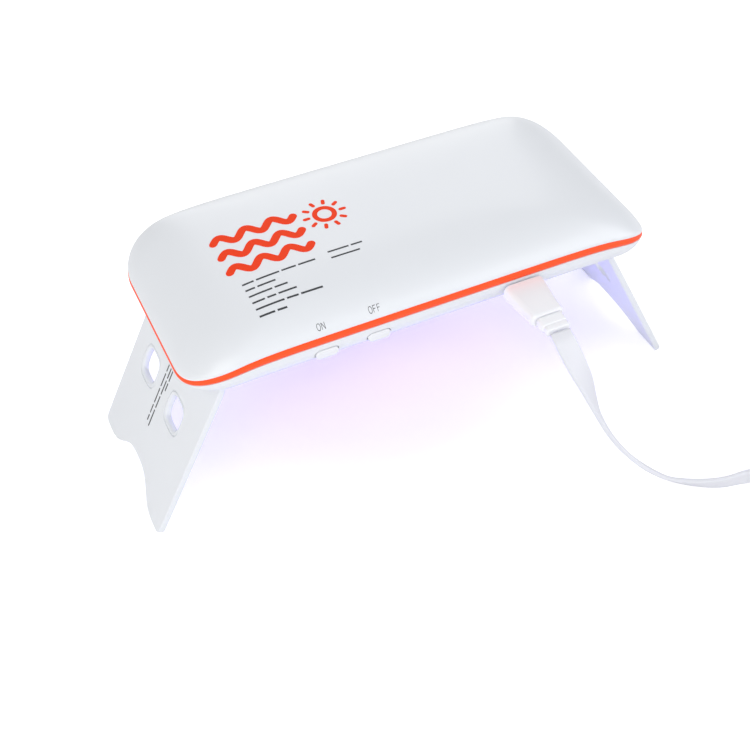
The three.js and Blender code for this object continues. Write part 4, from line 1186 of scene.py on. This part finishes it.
# Metal: noise drawn out along one axis, for a drawn or plated surface
def metal(slot):
    values = metalSettings[slot]
    material, tree, shader = newMaterial(slot + "Metal")
    place = addNode(tree, "ShaderNodeTexCoord")
    stretch = addNode(tree, "ShaderNodeMapping")
    lines = addNode(tree, "ShaderNodeTexNoise", Scale=values["lines"], Detail=3.0)
    setInputs(stretch, {"Scale": (1, 12, 1)})
    wire(tree, (place, "Object", stretch, "Vector"), (stretch, "Vector", lines, "Vector"))
    glossBy(tree, lines, shader, values["roughness"], 0.7, 1.4)
    bumpBy(tree, lines, shader, 0.08, 0.00003)
    setInputs(shader, {"Base Color": (*values["color"], 1), "Metallic": 1.0})
    return material


windowSettings = {"color": (0.93, 0.92, 1.0), "roughness": 0.04, "ior": 1.46}


# Clear window plate with faint smears in its gloss
def clearWindow():
    material, tree, shader = newMaterial("clearWindow")
    glossBy(tree, objectNoise(tree, 60.0, 2.0), shader, windowSettings["roughness"], 0.5, 2)
    color = (*windowSettings["color"], 1)
    setInputs(shader, {"Base Color": color, "Transmission Weight": 1.0, "IOR": windowSettings["ior"]})
    return material


boardSettings = {"color": (0.015, 0.12, 0.05), "trace": (0.03, 0.2, 0.09), "cell": 450.0, "roughness": 0.35}


# Circuit board: a brick pattern in the two colours of board and track
def circuitBoard():
    material, tree, shader = newMaterial("circuitBoard")
    place = addNode(tree, "ShaderNodeTexCoord")
    tracks = addNode(tree, "ShaderNodeTexBrick", Scale=boardSettings["cell"])
    color = (*boardSettings["color"], 1)
    setInputs(tracks, {"Color1": color, "Color2": color, "Mortar": (*boardSettings["trace"], 1)})
    wire(tree, (place, "Object", tracks, "Vector"), (tracks, "Color", shader, "Base Color"))
    setInputs(shader, {"Roughness": boardSettings["roughness"]})
    return material


emitterSettings = {"color": (0.32, 0.12, 1.0), "strength": 6.0, "edge": 0.55, "body": (0.5, 0.4, 0.9)}


# Lit emitter: its light falls from the strength where a face looks at the eye to a share of it at the edge
def litEmitter():
    material, tree, shader = newMaterial("litEmitter")
    facing = addNode(tree, "ShaderNodeLayerWeight", Blend=0.4)
    strength = addNode(tree, "ShaderNodeMapRange")
    bright = emitterSettings["strength"]
    setInputs(strength, {"To Min": bright, "To Max": bright * emitterSettings["edge"]})
    wire(tree, (facing, "Facing", strength, "Value"), (strength, "Result", shader, "Emission Strength"))
    light, body = (*emitterSettings["color"], 1), (*emitterSettings["body"], 1)
    setInputs(shader, {"Emission Color": light, "Base Color": body})
    return material


# Every CAD node gets the finish of its slot, and every piece of this script its own
def paintAll():
    slots = {entry["node"]: entry["material_slot"] for entry in frame["record"]["subparts"]}
    finishes = {slot: plastic(slot) for slot in plasticSettings}
    finishes.update({slot: metal(slot) for slot in metalSettings})
    finishes["window"] = clearWindow()
    finishes["board"] = circuitBoard()
    finishes["emitter"] = litEmitter()
    finishes["greyInk"], finishes["orangeInk"] = ink("grey"), ink("orange")
    painted = [(item, slots[name]) for name, item in nodes.items()]
    for item, slot in painted:
        sharpen(item, 32)
    painted += [(flatCord, "cord"), (topCover, "shell"), (trimBand, "band"), (plugGrip, "plug")]
    painted += [(strainRelief, "plug"), (greyPrint, "greyInk"), (legPrint, "greyInk")]
    painted += [(orangePrint, "orangeInk")]
    painted += [(leg, "shell") for leg in legs] + [(cap, "button") for cap in buttonCaps]
    for item, slot in painted:
        item.data.materials.clear()
        item.data.materials.append(finishes[slot])


paintAll()
print("materials made")

# Floor, backdrop and lights in metres and watts; the glow's pitch, y and under are in mm
studioSettings = {
    "floorHalf": 0.75,
    "floorColor": (0.93, 0.93, 0.94),
    "floorGlow": 0.42,
    "glowFade": {"reach": (0.082, 0.05), "from": 0.35, "to": 1.35},
    "worldStrength": 0.49,
    "aim": (0, 0, 0.04),
    "key": {"place": (-0.6, -0.4, 0.5), "size": 0.8, "power": 4.2, "color": (1.0, 0.99, 0.97)},
    "fill": {"place": (0.65, -0.5, 0.4), "size": 0.9, "power": 4.2, "color": (0.96, 0.97, 1.0)},
    "back": {"place": (0.25, 0.85, 0.4), "size": 0.8, "power": 3.1, "color": (1.0, 1.0, 1.0)},
    "glow": {
        "power": 0.011,
        "spread": 100.0,
        "color": (0.12, 0.06, 1.0),
        "size": 0.012,
        "pitch": 33.2,
        "y": 5.5,
        "under": 0.5,
    },
}


# White floor, clear from below. For the camera alone it also shines, more with distance from the lamp: the
# share rises smoothly with the length of (x / reach, y / reach)
def makeFloor():
    half = studioSettings["floorHalf"]
    corners = [(-half, -half, 0), (half, -half, 0), (half, half, 0), (-half, half, 0)]
    floor = meshObject("floor", corners, [[0, 1, 2, 3]], False)
    material, tree, shader = newMaterial("studioFloor")
    tintBy(tree, objectNoise(tree, 3.0, 2.0), shader, studioSettings["floorColor"], 0.995, 1.0)
    setInputs(shader, {"Roughness": 0.9, "Specular IOR Level": 0.1, "Emission Color": (1, 1, 1, 1)})
    place = addNode(tree, "ShaderNodeTexCoord")
    spread = addNode(tree, "ShaderNodeMapping")
    distance = addNode(tree, "ShaderNodeVectorMath", operation="LENGTH")
    share = addNode(tree, "ShaderNodeMapRange", interpolation_type="SMOOTHSTEP")
    path = addNode(tree, "ShaderNodeLightPath")
    lift = addNode(tree, "ShaderNodeMath", operation="MULTIPLY")
    fade = studioSettings["glowFade"]
    setInputs(spread, {"Scale": (1 / fade["reach"][0], 1 / fade["reach"][1], 1)})
    setInputs(share, {"From Min": fade["from"], "From Max": fade["to"]})
    setInputs(share, {"To Max": studioSettings["floorGlow"]})
    below = addNode(tree, "ShaderNodeNewGeometry")
    clear = addNode(tree, "ShaderNodeBsdfTransparent")
    either = addNode(tree, "ShaderNodeMixShader")
    output = next(node for node in tree.nodes if node.type == "OUTPUT_MATERIAL")
    wire(
        tree,
        (place, "Object", spread, "Vector"),
        (spread, "Vector", distance, 0),
        (distance, "Value", share, "Value"),
        (path, "Is Camera Ray", lift, 0),
        (share, "Result", lift, 1),
        (lift, 0, shader, "Emission Strength"),
        (below, "Backfacing", either, 0),
        (shader, 0, either, 1),
        (clear, 0, either, 2),
        (either, 0, output, "Surface"),
    )
    floor.data.materials.append(material)


# White backdrop: full strength for the camera and less of it as light
def makeBackdrop():
    world = bpy.data.worlds.new("studioWorld")
    bpy.context.scene.world = world
    world.use_nodes = True
    tree = world.node_tree
    background = tree.nodes["Background"]
    seen = addNode(tree, "ShaderNodeLightPath")
    strength = addNode(tree, "ShaderNodeMapRange")
    setInputs(background, {"Color": (1, 1, 1, 1)})
    setInputs(strength, {"To Min": studioSettings["worldStrength"], "To Max": 1.0})
    wire(tree, (seen, "Is Camera Ray", strength, "Value"), (strength, "Result", background, "Strength"))


# Area light of a size, power and colour at a place in metres
def areaLight(name, values, place):
    data = bpy.data.lights.new(name, "AREA")
    data.size = values["size"]
    data.energy = values["power"]
    data.color = values["color"]
    light = bpy.data.objects.new(name, data)
    bpy.context.scene.collection.objects.link(light)
    light.location = place
    return light


# Three lights turned to the lamp, and a violet one that shines down under each emitter
def makeLights():
    for name in ("key", "fill", "back"):
        light = areaLight(name + "Light", studioSettings[name], studioSettings[name]["place"])
        way = Vector(studioSettings["aim"]) - light.location
        light.rotation_euler = way.to_track_quat("-Z", "Y").to_euler()
    glow = studioSettings["glow"]
    for place in (-1, 0, 1):
        spot = (place * glow["pitch"] * mm, glow["y"] * mm, (underside - glow["under"]) * mm)
        light = areaLight("violetLight", glow, spot)
        light.data.spread = math.radians(glow["spread"])


makeFloor()
makeBackdrop()
makeLights()
bpy.context.scene.view_settings.view_transform = "Standard"
print("studio made")
